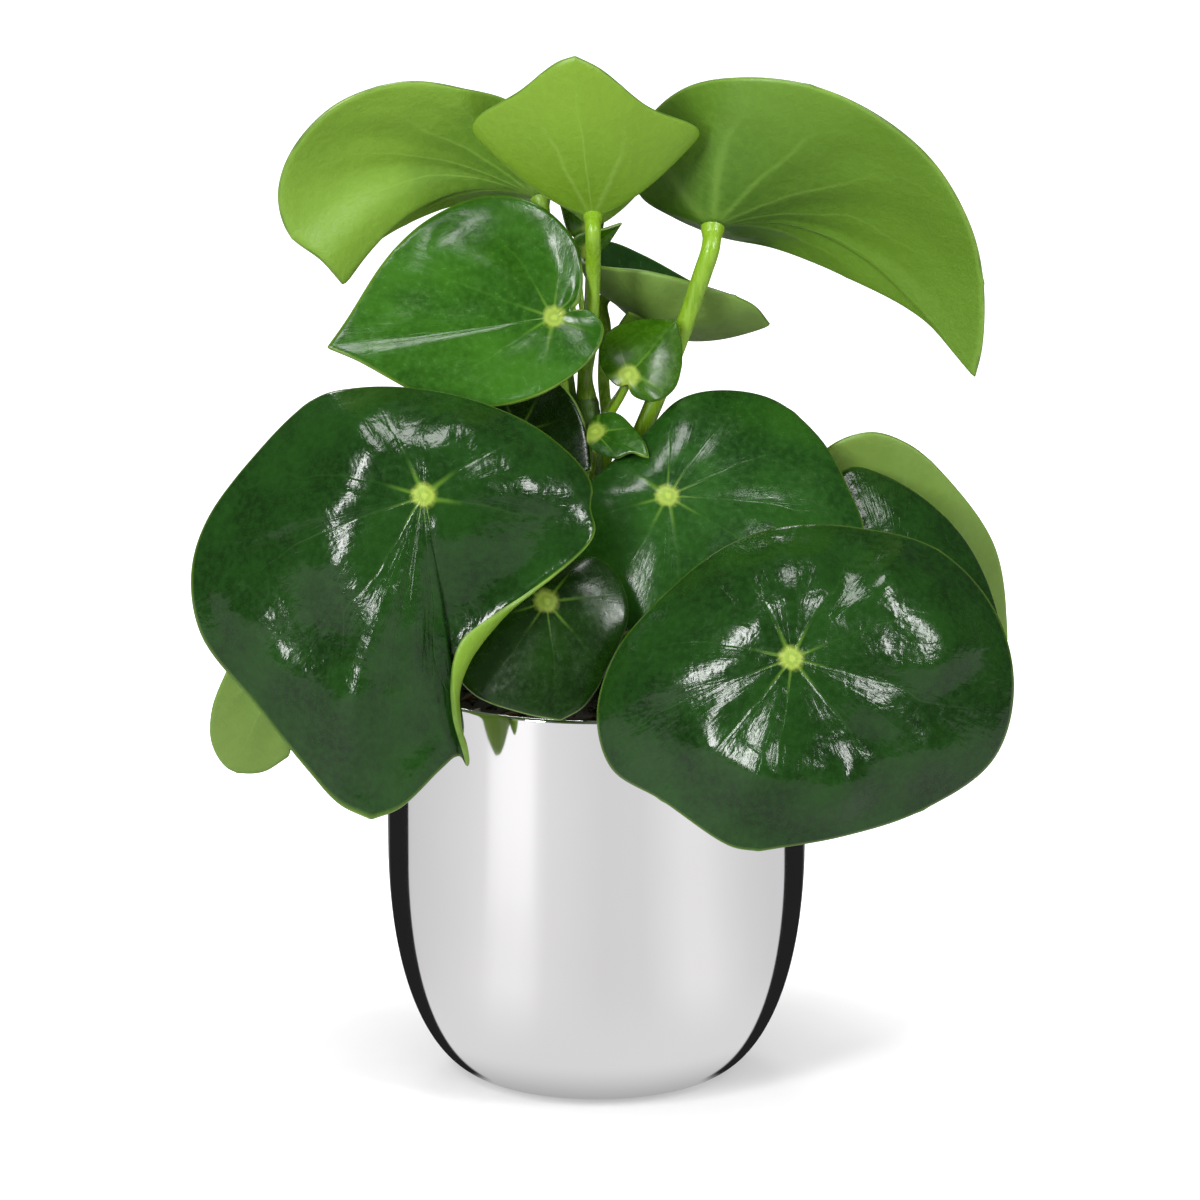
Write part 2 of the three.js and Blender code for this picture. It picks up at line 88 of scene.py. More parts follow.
# Each leaf: hub, rim from the pointed tip round to the tip (anticlockwise on the upper side), and the
# stalk from the stem to the hub. "facing" is the upper side's direction and "bow" the lift between
# hub and rim.
LEAVES = [
    dict(
        name="top_left", hub=(-16, 12, 254), facing=(-0.12, 0.6, 0.79), bow=0.16,
        rim=[
          (-72, 0, 231), (-78, -4, 239), (-87, -6, 247), (-90, -8, 259), (-86, -10, 272),
          (-73, -12, 286), (-54, -10, 292), (-38, -4, 289), (-24, 6, 283), (-12, 16, 270),
          (-10, 24, 254), (-19, 25, 250), (-36, 22, 251), (-53, 16, 246), (-66, 8, 239)],
        stalk=dict(angle=128, height=186, radius=2.3, via=[(-10, 5, 213), (-14, 6, 236)]),
    ),
    dict(
        name="top_centre", hub=(-1, -6, 253), facing=(0, 0.74, 0.67),
        rim=[
          (-6, -27, 303), (1, -25, 299), (14, -18, 287), (29, -6, 277), (20, 0, 269), (10, 6, 256),
          (-1, 10, 248), (-11, 6, 257), (-24, 0, 267), (-35, -8, 279), (-21, -20, 292),
          (-11, -26, 301)],
        stalk=dict(from_top=True, radius=2.2, via=[(-2, -2, 215), (-1, -5, 236)]),
    ),
    dict(
        name="top_right", hub=(33, 6, 247), facing=(0.1, 0.62, 0.78), bow=0.14,
        rim=[
          (108, 8, 202), (94, 16, 217), (72, 24, 228), (52, 26, 236), (36, 30, 239), (22, 30, 245),
          (12, 26, 253), (13, 16, 273), (24, 4, 287), (40, -8, 293), (60, -14, 292), (78, -14, 284),
          (95, -10, 269), (106, -4, 249), (110, 2, 231), (110, 6, 212)],
        stalk=dict(angle=8, height=168, radius=2.7, via=[(13, 3, 188), (24, 3, 216), (30, 2, 234)]),
    ),
    dict(
        name="mid_left", hub=(-12, -14, 225),
        rim=[
          (-76, -26, 219), (-68, -28, 216), (-48, -31, 206), (-30, -31, 203), (-14, -29, 207),
          (-1, -24, 216), (2, -18, 223), (-2, -14, 227), (-7, -13, 227), (-5, -12, 230),
          (-4, -8, 237), (-7, -2, 246), (-18, 6, 254), (-32, 9, 255), (-47, 4, 250), (-59, -6, 241),
          (-71, -20, 225)],
        stalk=dict(angle=180, height=184, radius=2, via=[(-10, -1, 203), (-13, -5, 214)]),
    ),
    dict(
        name="low_left", hub=(-48, -66, 186),
        rim=[
          (-63, -76, 95), (-55, -75, 98), (-45, -72, 107), (-37, -67, 115), (-39, -67, 126),
          (-39, -68, 140), (-29, -66, 160), (-6, -58, 176), (-1, -52, 185), (-13, -46, 198),
          (-30, -42, 206), (-49, -39, 210), (-68, -38, 210), (-79, -38, 207), (-97, -40, 190),
          (-110, -42, 172), (-114, -46, 158), (-111, -52, 142), (-96, -62, 125), (-81, -70, 108),
          (-72, -74, 99)],
        stalk=dict(
            angle=222, height=122, radius=1.9,
            via=[(-13, -22, 152), (-18, -32, 162), (-32, -44, 175), (-44, -56, 182)]),
    ),
    dict(
        name="low_right", hub=(54, -88, 145),
        rim=[
          (45, -94, 91), (69, -89, 94), (91, -80, 99), (111, -71, 111), (117, -63, 129),
          (112, -57, 150), (96, -53, 167), (75, -52, 173), (54, -53, 174), (36, -57, 169),
          (18, -64, 156), (5, -68, 141), (0, -72, 124), (4, -76, 110), (18, -84, 103),
          (37, -92, 92)],
        stalk=dict(
            angle=315, height=118, radius=2.3,
            via=[(16, -24, 127), (32, -48, 127), (44, -66, 131), (52, -79, 138)]),
    ),
    dict(
        name="mid_right", hub=(20, -30, 177),
        rim=[
          (26, -50, 132), (54, -44, 139), (72, -32, 152), (76, -20, 164), (72, -12, 174),
          (64, -4, 187), (51, 2, 197), (37, 2, 200), (24, -4, 199), (14, -12, 191), (3, -20, 183),
          (-7, -28, 174), (-10, -34, 161), (0, -40, 149), (12, -46, 139)],
        stalk=dict(angle=310, height=146, radius=2, via=[(9, -10, 160), (18, -20, 170)]),
    ),
    dict(
        name="low_middle", hub=(-14, -56, 153),
        rim=[
          (-10, -66, 121), (-3, -64, 125), (4, -59, 136), (9, -53, 148), (6, -47, 158),
          (-1, -45, 163), (-14, -47, 159), (-28, -51, 158), (-38, -55, 150), (-41, -59, 137),
          (-35, -62, 128), (-21, -65, 123)],
        stalk=dict(angle=262, height=120, radius=1.6, via=[(-4, -20, 139), (-12, -44, 147)]),
    ),
    dict(
        name="right_light", hub=(88, 12, 148),
        rim=[
          (104, 26, 102), (88, 26, 105), (73, 24, 118), (65, 18, 137), (63, 10, 160), (64, 4, 181),
          (77, 2, 188), (89, 4, 184), (102, 8, 171), (114, 14, 152), (118, 20, 131), (117, 26, 113)],
        stalk=dict(angle=20, height=120, radius=1.9, via=[(30, 6, 140), (62, 4, 148), (84, 4, 146)]),
    ),
    dict(
        name="right_dark", hub=(86, -28, 149),
        rim=[
          (96, -36, 122), (108, -32, 126), (114, -26, 134), (112, -16, 145), (105, -8, 158),
          (94, -4, 169), (81, 0, 176), (72, 0, 178), (64, -8, 170), (62, -22, 153), (68, -32, 137),
          (80, -36, 125)],
        stalk=dict(
            angle=345, height=134, radius=1.9,
            via=[(32, -6, 146), (62, -12, 147), (82, -20, 145)]),
    ),
    dict(
        name="left_light", hub=(-86, 8, 122),
        rim=[
          (-89, 20, 87), (-97, 21, 82), (-106, 20, 83), (-111, 18, 91), (-111, 15, 102),
          (-106, 10, 116), (-98, 4, 131), (-85, 0, 140), (-70, 0, 139), (-62, 4, 128),
          (-64, 10, 111), (-77, 15, 102), (-85, 18, 96), (-89, 19, 92)],
        stalk=dict(
            angle=185, height=120, radius=1.7,
            via=[(-30, -4, 142), (-60, -8, 138), (-82, -2, 123)]),
    ),
    dict(
        name="back_right", hub=(4, 30, 223), facing=(0.5, 0.12, 0.86), bow=-0.14,
        rim=[
          (50, 26, 214), (43, 46, 215), (30, 58, 218), (15, 60, 226), (4, 54, 232), (-2, 44, 233),
          (-4, 28, 232), (2, 16, 233), (15, 10, 233), (31, 9, 229), (44, 14, 223)],
        stalk=dict(angle=30, height=178, radius=1.7, via=[(2, 17, 200), (2.5, 27, 213)]),
    ),
    dict(
        name="back_top", hub=(-2, 27, 243), young=True,
        rim=[
          (2, 22, 266.5), (-6, 18, 264), (-11, 16, 254), (-10, 19, 249), (-8, 22, 242),
          (-3, 25, 237.5), (1, 28, 239), (2.5, 32, 245), (7.5, 30, 254), (8.5, 26, 261.5)],
        stalk=dict(angle=68, height=184, radius=1.2, via=[(-4, 14, 205), (-8, 24, 225), (-9, 31, 237)]),
    ),
    dict(
        name="back_point", hub=(-2, 18, 238), young=True,
        rim=[
          (7.5, 20, 245), (1, 17, 243.5), (-5.5, 14, 242.5), (-7.5, 13, 239.5), (-5.5, 16, 236),
          (-1.5, 20, 234.5), (2, 20, 237)],
        stalk=dict(angle=96, height=192, radius=0.9, via=[(-3, 10, 212), (-5, 20, 228), (-5, 23, 236)]),
    ),
    dict(
        name="young_upper", hub=(9, -11.5, 207.5), young=True,
        rim=[
          (23, -3, 221.5), (14.5, 2, 221), (6, 2, 219), (1.5, -2, 215.5), (1, -8, 210),
          (6, -12, 204.5), (9, -12, 205), (10.5, -13, 202), (16.5, -14, 200.5), (22.5, -9, 203.5),
          (24.5, -3, 213)],
        stalk=dict(angle=310, height=186, radius=1.1, via=[(5, -7, 197), (8, -9, 203)]),
    ),
    dict(
        name="young_lower", hub=(-0.5, -14, 191.5), young=True,
        rim=[
          (15, -24, 186.5), (14, -20, 189.5), (10.5, -14, 193), (5.5, -9, 196), (-0.5, -9, 195),
          (-2.5, -13, 191), (-2, -16, 188), (5.5, -21, 185.5), (10, -22, 187.5)],
        stalk=dict(angle=270, height=172, radius=1.1, via=[(-1, -9, 182)]),
    ),
    dict(
        name="centre_left", hub=(-22, -2, 189),
        rim=[
          (-1, -16, 181), (-2, -11, 189), (-6, -7, 199), (-12, -4, 205), (-22, 2, 207),
          (-33, 6, 203), (-40, 6, 196), (-42, 0, 187), (-39, -8, 179), (-27, -14, 175),
          (-12, -17, 176)],
        stalk=dict(angle=180, height=160, radius=1.6, via=[(-13, 2, 173), (-20, 3, 181)]),
    ),
    dict(
        name="back_small", hub=(10.5, 22, 208.5), young=True,
        rim=[
          (9, 16, 220), (13.5, 18, 217.5), (17, 22, 210), (16, 26, 202), (10, 28, 199.5),
          (6, 24, 205.5), (6, 18, 214.5)],
        stalk=dict(angle=355, height=190, radius=1.1, via=[(8, 8, 200), (10, 17, 206)]),
    ),
    dict(
        name="rear_left", hub=(-61, 34, 148),
        rim=[
          (-78, 58, 97), (-89, 52, 114), (-97, 44, 134), (-94, 32, 158), (-79, 24, 177),
          (-59, 20, 184), (-42, 22, 178), (-31, 28, 161), (-31, 36, 142), (-43, 46, 118),
          (-60, 54, 102)],
        stalk=dict(
            angle=140, height=120, radius=2,
            via=[(-20, 12, 140), (-45, 22, 147), (-60, 27, 146)]),
    ),
    dict(
        name="rear_right", hub=(43, 40, 153),
        rim=[
          (51, 66, 104), (36, 62, 109), (18, 54, 125), (10, 44, 144), (15, 34, 166), (33, 26, 180),
          (51, 26, 180), (66, 30, 167), (71, 38, 147), (69, 50, 126), (61, 60, 110)],
        stalk=dict(angle=60, height=120, radius=2, via=[(14, 14, 138), (32, 26, 149), (42, 33, 151)]),
    ),
    dict(
        name="rear_upper", hub=(-36, 34, 219),
        rim=[
          (-51, 50, 188), (-63, 46, 199), (-66, 38, 215), (-59, 30, 232), (-45, 25, 242),
          (-28, 26, 241), (-15, 31, 231), (-10, 38, 215), (-15, 44, 201), (-28, 49, 190),
          (-41, 51, 186)],
        stalk=dict(
            angle=140, height=156, radius=1.8,
            via=[(-12, 10, 176), (-26, 22, 202), (-34, 29, 214)]),
    ),
]

# Looks and small forms of each leaf: its upper and under skin, its number of veins, how deep the dish
# round the hub is, and how strongly the blade waves (both in mm).
FORMS = {
    "top_left": dict(upper="deep", under="bright", veins=9, dish=0.0, wave=1.0),
    "top_centre": dict(upper="mid", under="fresh", veins=7, dish=0.0, wave=0.5),
    "top_right": dict(upper="deep", under="leafy", veins=9, dish=0.0, wave=1.0),
    "mid_left": dict(upper="mid", under="leafy", veins=9, dish=1.2, wave=0.9),
    "low_left": dict(upper="deep", under="fresh", veins=9, dish=1.5, wave=2.8),
    "low_right": dict(upper="deep", under="leafy", veins=9, dish=2.2, wave=2.2),
    "mid_right": dict(upper="rich", under="leafy", veins=9, dish=1.6, wave=1.0),
    "low_middle": dict(upper="dark", under="leafy", veins=7, dish=1.0, wave=0.6),
    "right_light": dict(upper="deep", under="soft", veins=7, dish=0.6, wave=0.8),
    "right_dark": dict(upper="deep", under="leafy", veins=7, dish=0.8, wave=0.9),
    "left_light": dict(upper="deep", under="soft", veins=7, dish=0.4, wave=0.7),
    "back_right": dict(upper="rich", under="grey", veins=7, dish=0.0, wave=0.5),
    "back_top": dict(upper="young", under="grey", veins=5, dish=0.0, wave=0.2),
    "back_point": dict(upper="young", under="fresh", veins=5, dish=0.0, wave=0.1),
    "young_upper": dict(upper="young", under="fresh", veins=5, dish=0.3, wave=0.3),
    "young_lower": dict(upper="mid", under="fresh", veins=5, dish=0.2, wave=0.2),
    "centre_left": dict(upper="dark", under="leafy", veins=7, dish=0.8, wave=0.6),
    "back_small": dict(upper="rich", under="fresh", veins=5, dish=0.2, wave=0.2),
    "rear_left": dict(upper="deep", under="leafy", veins=9, dish=1.4, wave=1.1),
    "rear_right": dict(upper="deep", under="leafy", veins=9, dish=1.4, wave=1.1),
    "rear_upper": dict(upper="rich", under="leafy", veins=9, dish=1.2, wave=1.0),
}

# Folds pressed into the broad leaves: a line over the leaf as (x, z), how wide and how high, in mm.
FOLDS = {
    "low_left": [
        dict(line=[(-78, 210), (-69, 190), (-73, 172), (-63, 152), (-69, 132), (-63, 108)],
             width=15, height=5.2),
        dict(line=[(-40, 172), (-48, 150), (-50, 125), (-50, 105)], width=9, height=-3.5),
        dict(line=[(-106, 165), (-97, 145), (-84, 122)], width=9, height=2.6),
    ],
    "low_right": [
        dict(line=[(22, 124), (40, 113), (58, 107), (80, 104)], width=9, height=4.4),
        dict(line=[(62, 112), (84, 113), (98, 119)], width=8, height=2.4),
        dict(line=[(76, 168), (92, 154), (102, 134)], width=11, height=3.8),
        dict(line=[(40, 160), (52, 164), (68, 164)], width=8, height=2.2),
    ],
    "mid_left": [
        dict(line=[(-50, 246), (-32, 238), (-14, 226)], width=8, height=1.2),
    ],
}

# The low left leaf's right-hand margin rolls over and shows its pale side: between which rim points, from
# what share of the blade, how far in it bends, how far out and up the roll stands (mm), and its turn.
ROLL = dict(leaf="low_left", start=2.2, end=8.4, share=0.72, inset=0.94, out=9.5, up=4.0, turn=168)


def only(obj):
    """Nothing else selected, and obj active."""
    bpy.ops.object.select_all(action="DESELECT")
    obj.select_set(True)
    bpy.context.view_layer.objects.active = obj


def apply_modifier(obj, kind, name, **settings):
    """Adds a modifier with these settings and applies it."""
    only(obj)
    modifier = obj.modifiers.new(name, kind)
    for key, value in settings.items():
        setattr(modifier, key, value)
    bpy.ops.object.modifier_apply(modifier=modifier.name)


def smooth(obj, angle=None):
    """Shades obj smooth, and keeps edges sharper than angle crisp where one is given."""
    only(obj)
    if angle is None:
        bpy.ops.object.shade_smooth()
    else:
        bpy.ops.object.shade_smooth_by_angle(angle=math.radians(angle))


def eased(low, high, value):
    """0 below low, 1 above high, and a smooth step between."""
    share = min(max((value - low) / (high - low), 0.0), 1.0)
    return share * share * (3 - 2 * share)


def along(points, share):
    """Point at a share, 0 to 1, of the way along the smooth line through the points."""
    place = share * (len(points) - 1)
    i = min(int(place), len(points) - 2)
    w = place - i
    b, c = points[i], points[i + 1]
    a = points[i - 1] if i else b * 2 - c
    d = points[i + 2] if i + 2 < len(points) else c * 2 - b
    before, here, after = (max((q - p).length, 1e-6) ** 0.5 for p, q in ((a, b), (b, c), (c, d)))
    leave = ((b - a) / before - (c - a) / (before + here) + (c - b) / here) * here
    arrive = ((c - b) / here - (d - b) / (here + after) + (d - c) / after) * here
    return (
        b
        + leave * w
        + (c * 3 - b * 3 - leave * 2 - arrive) * w * w
        + (b * 2 - c * 2 + leave + arrive) * w ** 3
    )


def pot_radius(z):
    """Radius of the pot's outside at height z, in mm."""
    if z >= POT_BELLY_HEIGHT:
        rise = (z - POT_BELLY_HEIGHT) / (POT_HEIGHT - POT_BELLY_HEIGHT)
        return POT_BELLY_RADIUS + (POT_RIM_RADIUS - POT_BELLY_RADIUS) * rise
    below = 1 - z / POT_BELLY_HEIGHT
    swell = max(1 - below ** POT_BELLY_POWER, 0.0) ** (1 / POT_BELLY_POWER)
    return POT_FOOT_RADIUS + (POT_BELLY_RADIUS - POT_FOOT_RADIUS) * swell


def stem_point(z):
    """The stem's centre at height z, in metres."""
    rise = (z - STEM_FOOT_Z) / (STEM_TOP_Z - STEM_FOOT_Z)
    return Vector((-STEM_LEAN * rise * rise, 0, z)) * MM


# ---------------------------------------------------------------------------------------------------
# Node helpers and the effects that several materials share


def rgb(colour):
    return (*colour, 1.0)


def shade(colour, by):
    """The colour made lighter or darker."""
    return tuple(by * c for c in colour)


class Nodes:
    """Short calls for adding and joining nodes in one tree."""

    def __init__(self, tree):
        self.tree = tree

    def add(self, kind, inputs=None, **settings):
        node = self.tree.nodes.new(kind)
        for key, value in settings.items():
            setattr(node, key, value)
        for key, value in (inputs or {}).items():
            self.feed(node.inputs[key], value)
        return node

    def feed(self, socket, value):
        if isinstance(value, bpy.types.NodeSocket):
            self.tree.links.new(value, socket)
        else:
            socket.default_value = value

    def math(self, operation, a, b=0.0, c=0.0):
        node = self.add("ShaderNodeMath", {0: a, 1: b, 2: c}, operation=operation)
        return node.outputs[0]

    def vector_math(self, operation, a, b=(0, 0, 0), scale=1.0):
        node = self.add("ShaderNodeVectorMath", {0: a, 1: b}, operation=operation)
        if operation == "SCALE":
            self.feed(node.inputs["Scale"], scale)
        return node.outputs["Value"] if operation in ("LENGTH", "DOT_PRODUCT") else node.outputs[0]

    def step(self, value, low, high, to_low=0.0, to_high=1.0):
        """A smooth step of value from low to high."""
        node = self.add(
            "ShaderNodeMapRange",
            {"Value": value, "From Min": low, "From Max": high, "To Min": to_low, "To Max": to_high},
            interpolation_type="SMOOTHSTEP",
        )
        return node.outputs["Result"]

    def step_line(self, value, low, high):
        """A straight run of value from low to high, as 0 to 1."""
        node = self.add("ShaderNodeMapRange", {"Value": value, "From Min": low, "From Max": high})
        return node.outputs["Result"]

    def mix(self, factor, a, b):
        node = self.add("ShaderNodeMix", data_type="RGBA")
        for socket, value in zip((0, 6, 7), (factor, a, b)):
            self.feed(node.inputs[socket], value)
        return node.outputs[2]

    def tint(self, base, mask, share, colour):
        """base, with a share of colour where the mask is."""
        return self.mix(self.math("MULTIPLY", mask, share), base, rgb(colour))

    def bump(self, height, depth, strength=1.0):
        """A normal from a height pattern that is depth mm deep."""
        inputs = {"Height": height, "Distance": depth * MM, "Strength": strength}
        return self.add("ShaderNodeBump", inputs).outputs[0]

    def noise(self, vector, scale, detail=2.0, roughness=0.5, distortion=0.0):
        node = self.add(
            "ShaderNodeTexNoise",
            {"Vector": vector, "Scale": scale, "Detail": detail, "Roughness": roughness,
             "Distortion": distortion},
        )
        return node.outputs[0]


def group(name, inputs, outputs):
    """A node group with these named sockets; returns its tree, its Nodes, and its two end nodes."""
    tree = bpy.data.node_groups.new(name, "ShaderNodeTree")
    kinds = {"f": "NodeSocketFloat", "v": "NodeSocketVector", "c": "NodeSocketColor"}
    for socket_name, kind, default in inputs:
        socket = tree.interface.new_socket(socket_name, in_out="INPUT", socket_type=kinds[kind])
        if default is not None:
            socket.default_value = default
    for socket_name, kind in outputs:
        tree.interface.new_socket(socket_name, in_out="OUTPUT", socket_type=kinds[kind])
    nodes = Nodes(tree)
    return tree, nodes, nodes.add("NodeGroupInput").outputs, nodes.add("NodeGroupOutput").inputs


def leaf_places(n, given):
    """A leaf's two maps as places from its hub: as a share of its reach, and in metres."""
    spoke = n.vector_math("SUBTRACT", n.vector_math("SCALE", given["Spokes"], scale=2.0), (1, 1, 0))
    middle = n.vector_math("SUBTRACT", given["Plane"], (0.5, 0.5, 0))
    return spoke, n.vector_math("SCALE", middle, scale=PLANE_SPAN)


def leaf_veins_group():
    """Masks of a round leaf from its spokes map: veins, the pale hub, its rays, and the margin."""
    tree, n, given, out = group(
        "leaf veins",
        [("Spokes", "v", None), ("Plane", "v", None), ("Vein Count", "f", 9.0),
         ("Vein Width", "f", 0.0007), ("Hub Radius", "f", 0.0036)],
        [("Veins", "f"), ("Hub", "f"), ("Ring", "f"), ("Rays", "f"), ("Margin", "f"), ("Distance", "f")],
    )
    spoke, place = leaf_places(n, given)
    reach = n.vector_math("LENGTH", spoke)
    distance = n.vector_math("LENGTH", place)
    parts = n.add("ShaderNodeSeparateXYZ", {"Vector": spoke}).outputs
    angle = n.math("ARCTAN2", parts["Y"], parts["X"])
    wander = n.math("SUBTRACT", n.noise(place, 38.0, 2.0), 0.5)
    bent = n.math("MULTIPLY_ADD", wander, n.math("MULTIPLY", reach, 0.9), angle)
    half_turns = n.math("MULTIPLY", n.math("MULTIPLY", bent, given["Vein Count"]), 0.5)
    swing = n.math("ABSOLUTE", n.math("SINE", half_turns))
    spacing = n.math("DIVIDE", n.math("MULTIPLY", distance, 2.0), given["Vein Count"])
    gap = n.math("MULTIPLY", swing, spacing)
    line = n.step(gap, 0.0, given["Vein Width"], 1.0, 0.0)
    fade = n.step(reach, 0.35, 0.97, 1.0, 0.0)
    n.feed(out["Veins"], n.math("MULTIPLY", line, fade))
    inward = n.math("SUBTRACT", distance, 0.0011)
    ragged = n.math("MULTIPLY_ADD", n.noise(place, 420.0, 2.0), 0.0022, inward)
    hub = n.math("DIVIDE", ragged, given["Hub Radius"])
    n.feed(out["Hub"], n.step(hub, 0.45, 1.15, 1.0, 0.0))
    ring = n.math("MULTIPLY", n.step(hub, 0.12, 0.34), n.step(hub, 0.42, 0.70, 1.0, 0.0))
    n.feed(out["Ring"], ring)
    near = n.step(hub, 0.9, 3.4, 1.0, 0.0)
    n.feed(out["Rays"], n.math("MULTIPLY", line, near))
    n.feed(out["Margin"], n.step(reach, 0.975, 0.995))
    n.feed(out["Distance"], distance)
    return tree


def skin_crinkle_group():
    """The fine waviness of a fleshy leaf: short wrinkles that run out from the hub, over soft dimples."""
    tree, n, given, out = group(
        "skin crinkle",
        [("Spokes", "v", None), ("Plane", "v", None), ("Dimples", "f", 150.0)],
        [("Height", "f")],
    )
    spoke, place = leaf_places(n, given)
    around = n.vector_math("SCALE", n.vector_math("NORMALIZE", spoke), scale=7.0)
    distance = n.vector_math("LENGTH", place)
    parts = n.add("ShaderNodeSeparateXYZ", {"Vector": around}).outputs
    outward = n.math("MULTIPLY", distance, 55.0)
    polar = n.add("ShaderNodeCombineXYZ", {"X": parts["X"], "Y": parts["Y"], "Z": outward}).outputs[0]
    wrinkles = n.noise(polar, 1.6, 4.0, 0.55, 0.6)
    dimples = n.noise(place, given["Dimples"], 3.0, 0.55, 0.3)
    pores = n.noise(place, 1900.0, 1.0)
    away = n.step(distance, 0.004, 0.03, 0.12, 0.42)
    rough = n.math("MULTIPLY_ADD", wrinkles, away, n.math("MULTIPLY", dimples, 0.9))
    n.feed(out["Height"], n.math("MULTIPLY_ADD", pores, 0.03, rough))
    return tree


def plant_mottle_group():
    """Broad and fine unevenness of living colour, in the piece's own place."""
    tree, n, given, out = group(
        "plant mottle",
        [("Place", "v", None), ("Broad", "f", 45.0), ("Fine", "f", 520.0)],
        [("Broad", "f"), ("Fine", "f"), ("Specks", "f")],
    )
    broad = n.noise(given["Place"], given["Broad"], 3.0, 0.55)
    fine = n.noise(given["Place"], given["Fine"], 3.0, 0.6)
    specks = n.noise(given["Place"], 1500.0, 1.0)
    n.feed(out["Broad"], n.step(broad, 0.3, 0.7))
    n.feed(out["Fine"], n.step(fine, 0.3, 0.72))
    n.feed(out["Specks"], n.step(specks, 0.66, 0.76))
    return tree


VEINS = leaf_veins_group()
CRINKLE = skin_crinkle_group()
MOTTLE = plant_mottle_group()


def new_material(name, preview):
    """A node material; returns it, its Nodes and its surface shader. preview is the colour in solid view."""
    material = bpy.data.materials.new(name)
    material.use_nodes = True
    material.diffuse_color = (*preview, 1)
    nodes = Nodes(material.node_tree)
    shader = material.node_tree.nodes["Principled BSDF"]
    return material, nodes, shader


def shared(nodes, tree, **inputs):
    """Places a shared effect in a material; returns its outputs."""
    node = nodes.add("ShaderNodeGroup")
    node.node_tree = tree
    for key, value in inputs.items():
        nodes.feed(node.inputs[key.replace("_", " ")], value)
    return node.outputs


HUB_YELLOW = (0.29, 0.38, 0.05)
HUB_RING = (0.13, 0.235, 0.02)
MARGIN_GREEN = (0.085, 0.17, 0.012)

# Upper skins: the darker and the lighter green, the vein colour, gloss (roughness), and wrinkle depth in mm.
UPPER = {
    "deep": dict(
        dark=(0.004, 0.019, 0.0022), light=(0.009, 0.040, 0.0045),
        vein=(0.020, 0.065, 0.009), rough=0.16, deep=0.55),
    "dark": dict(
        dark=(0.003, 0.013, 0.0012), light=(0.007, 0.030, 0.002),
        vein=(0.018, 0.055, 0.006), rough=0.22, deep=0.16),
    "rich": dict(
        dark=(0.005, 0.027, 0.003), light=(0.014, 0.062, 0.006),
        vein=(0.026, 0.085, 0.01), rough=0.21, deep=0.28),
    "mid": dict(
        dark=(0.009, 0.045, 0.002), light=(0.025, 0.096, 0.005),
        vein=(0.045, 0.140, 0.011), rough=0.21, deep=0.22),
    "young": dict(
        dark=(0.014, 0.056, 0.001), light=(0.036, 0.108, 0.002),
        vein=(0.09, 0.21, 0.01), rough=0.25, deep=0.12),
}

# Under skins: satin and paler, with one shade near the hub and one towards the margin. Their paleness is
# partly painted light shining through the blade, most in the bright and fresh looks; the leafy look is
# darker, painted shade for undersides in shadow.
UNDER = {
    "bright": dict(hub=(0.060, 0.155, 0.008), edge=(0.165, 0.30, 0.030), vein=(0.20, 0.34, 0.05)),
    "fresh": dict(hub=(0.105, 0.215, 0.009), edge=(0.148, 0.265, 0.016), vein=(0.19, 0.32, 0.05)),
    "leafy": dict(hub=(0.045, 0.118, 0.007), edge=(0.100, 0.205, 0.015), vein=(0.14, 0.26, 0.035)),
    "soft": dict(hub=(0.11, 0.20, 0.025), edge=(0.15, 0.245, 0.045), vein=(0.18, 0.29, 0.07)),
    "grey": dict(hub=(0.12, 0.21, 0.035), edge=(0.17, 0.28, 0.06), vein=(0.20, 0.31, 0.09)),
}


def leaf_maps(n):
    """The leaf's two maps and the piece's own place."""
    spokes = n.add("ShaderNodeUVMap", uv_map="spokes").outputs[0]
    plane = n.add("ShaderNodeUVMap", uv_map="plane").outputs[0]
    place = n.add("ShaderNodeTexCoord").outputs["Object"]
    return spokes, plane, place


def upper_skin(name, veins, dark, light, vein, rough, deep):
    """Glossy upper skin: deep green, paler veins, a yellow spot at the hub, and wrinkles."""
    material, n, shader = new_material(name, light)
    spokes, plane, place = leaf_maps(n)
    masks = shared(n, VEINS, Spokes=spokes, Plane=plane, Vein_Count=float(veins))
    mottle = shared(n, MOTTLE, Place=place)
    crinkle = shared(n, CRINKLE, Spokes=spokes, Plane=plane)
    green = n.mix(mottle["Broad"], rgb(dark), rgb(light))
    green = n.tint(green, mottle["Fine"], 0.35, shade(light, 1.5))
    green = n.tint(green, mottle["Specks"], 0.12, vein)
    green = n.tint(green, masks["Veins"], 0.3, vein)
    green = n.tint(green, masks["Rays"], 0.6, (0.10, 0.20, 0.02))
    hub = n.tint(rgb(HUB_YELLOW), masks["Ring"], 0.6, HUB_RING)
    green = n.mix(masks["Hub"], green, hub)
    green = n.tint(green, masks["Margin"], 0.8, MARGIN_GREEN)
    n.feed(shader.inputs["Base Color"], green)
    gloss = n.math("MULTIPLY_ADD", mottle["Fine"], 0.10, rough - 0.03)
    gloss = n.math("MULTIPLY_ADD", masks["Hub"], 0.2, gloss)
    n.feed(shader.inputs["Roughness"], gloss)
    grooves = n.math("MULTIPLY_ADD", masks["Veins"], -0.15, crinkle["Height"])
    n.feed(shader.inputs["Normal"], n.bump(grooves, deep))
    shader.inputs["Specular IOR Level"].default_value = 0.36
    return material


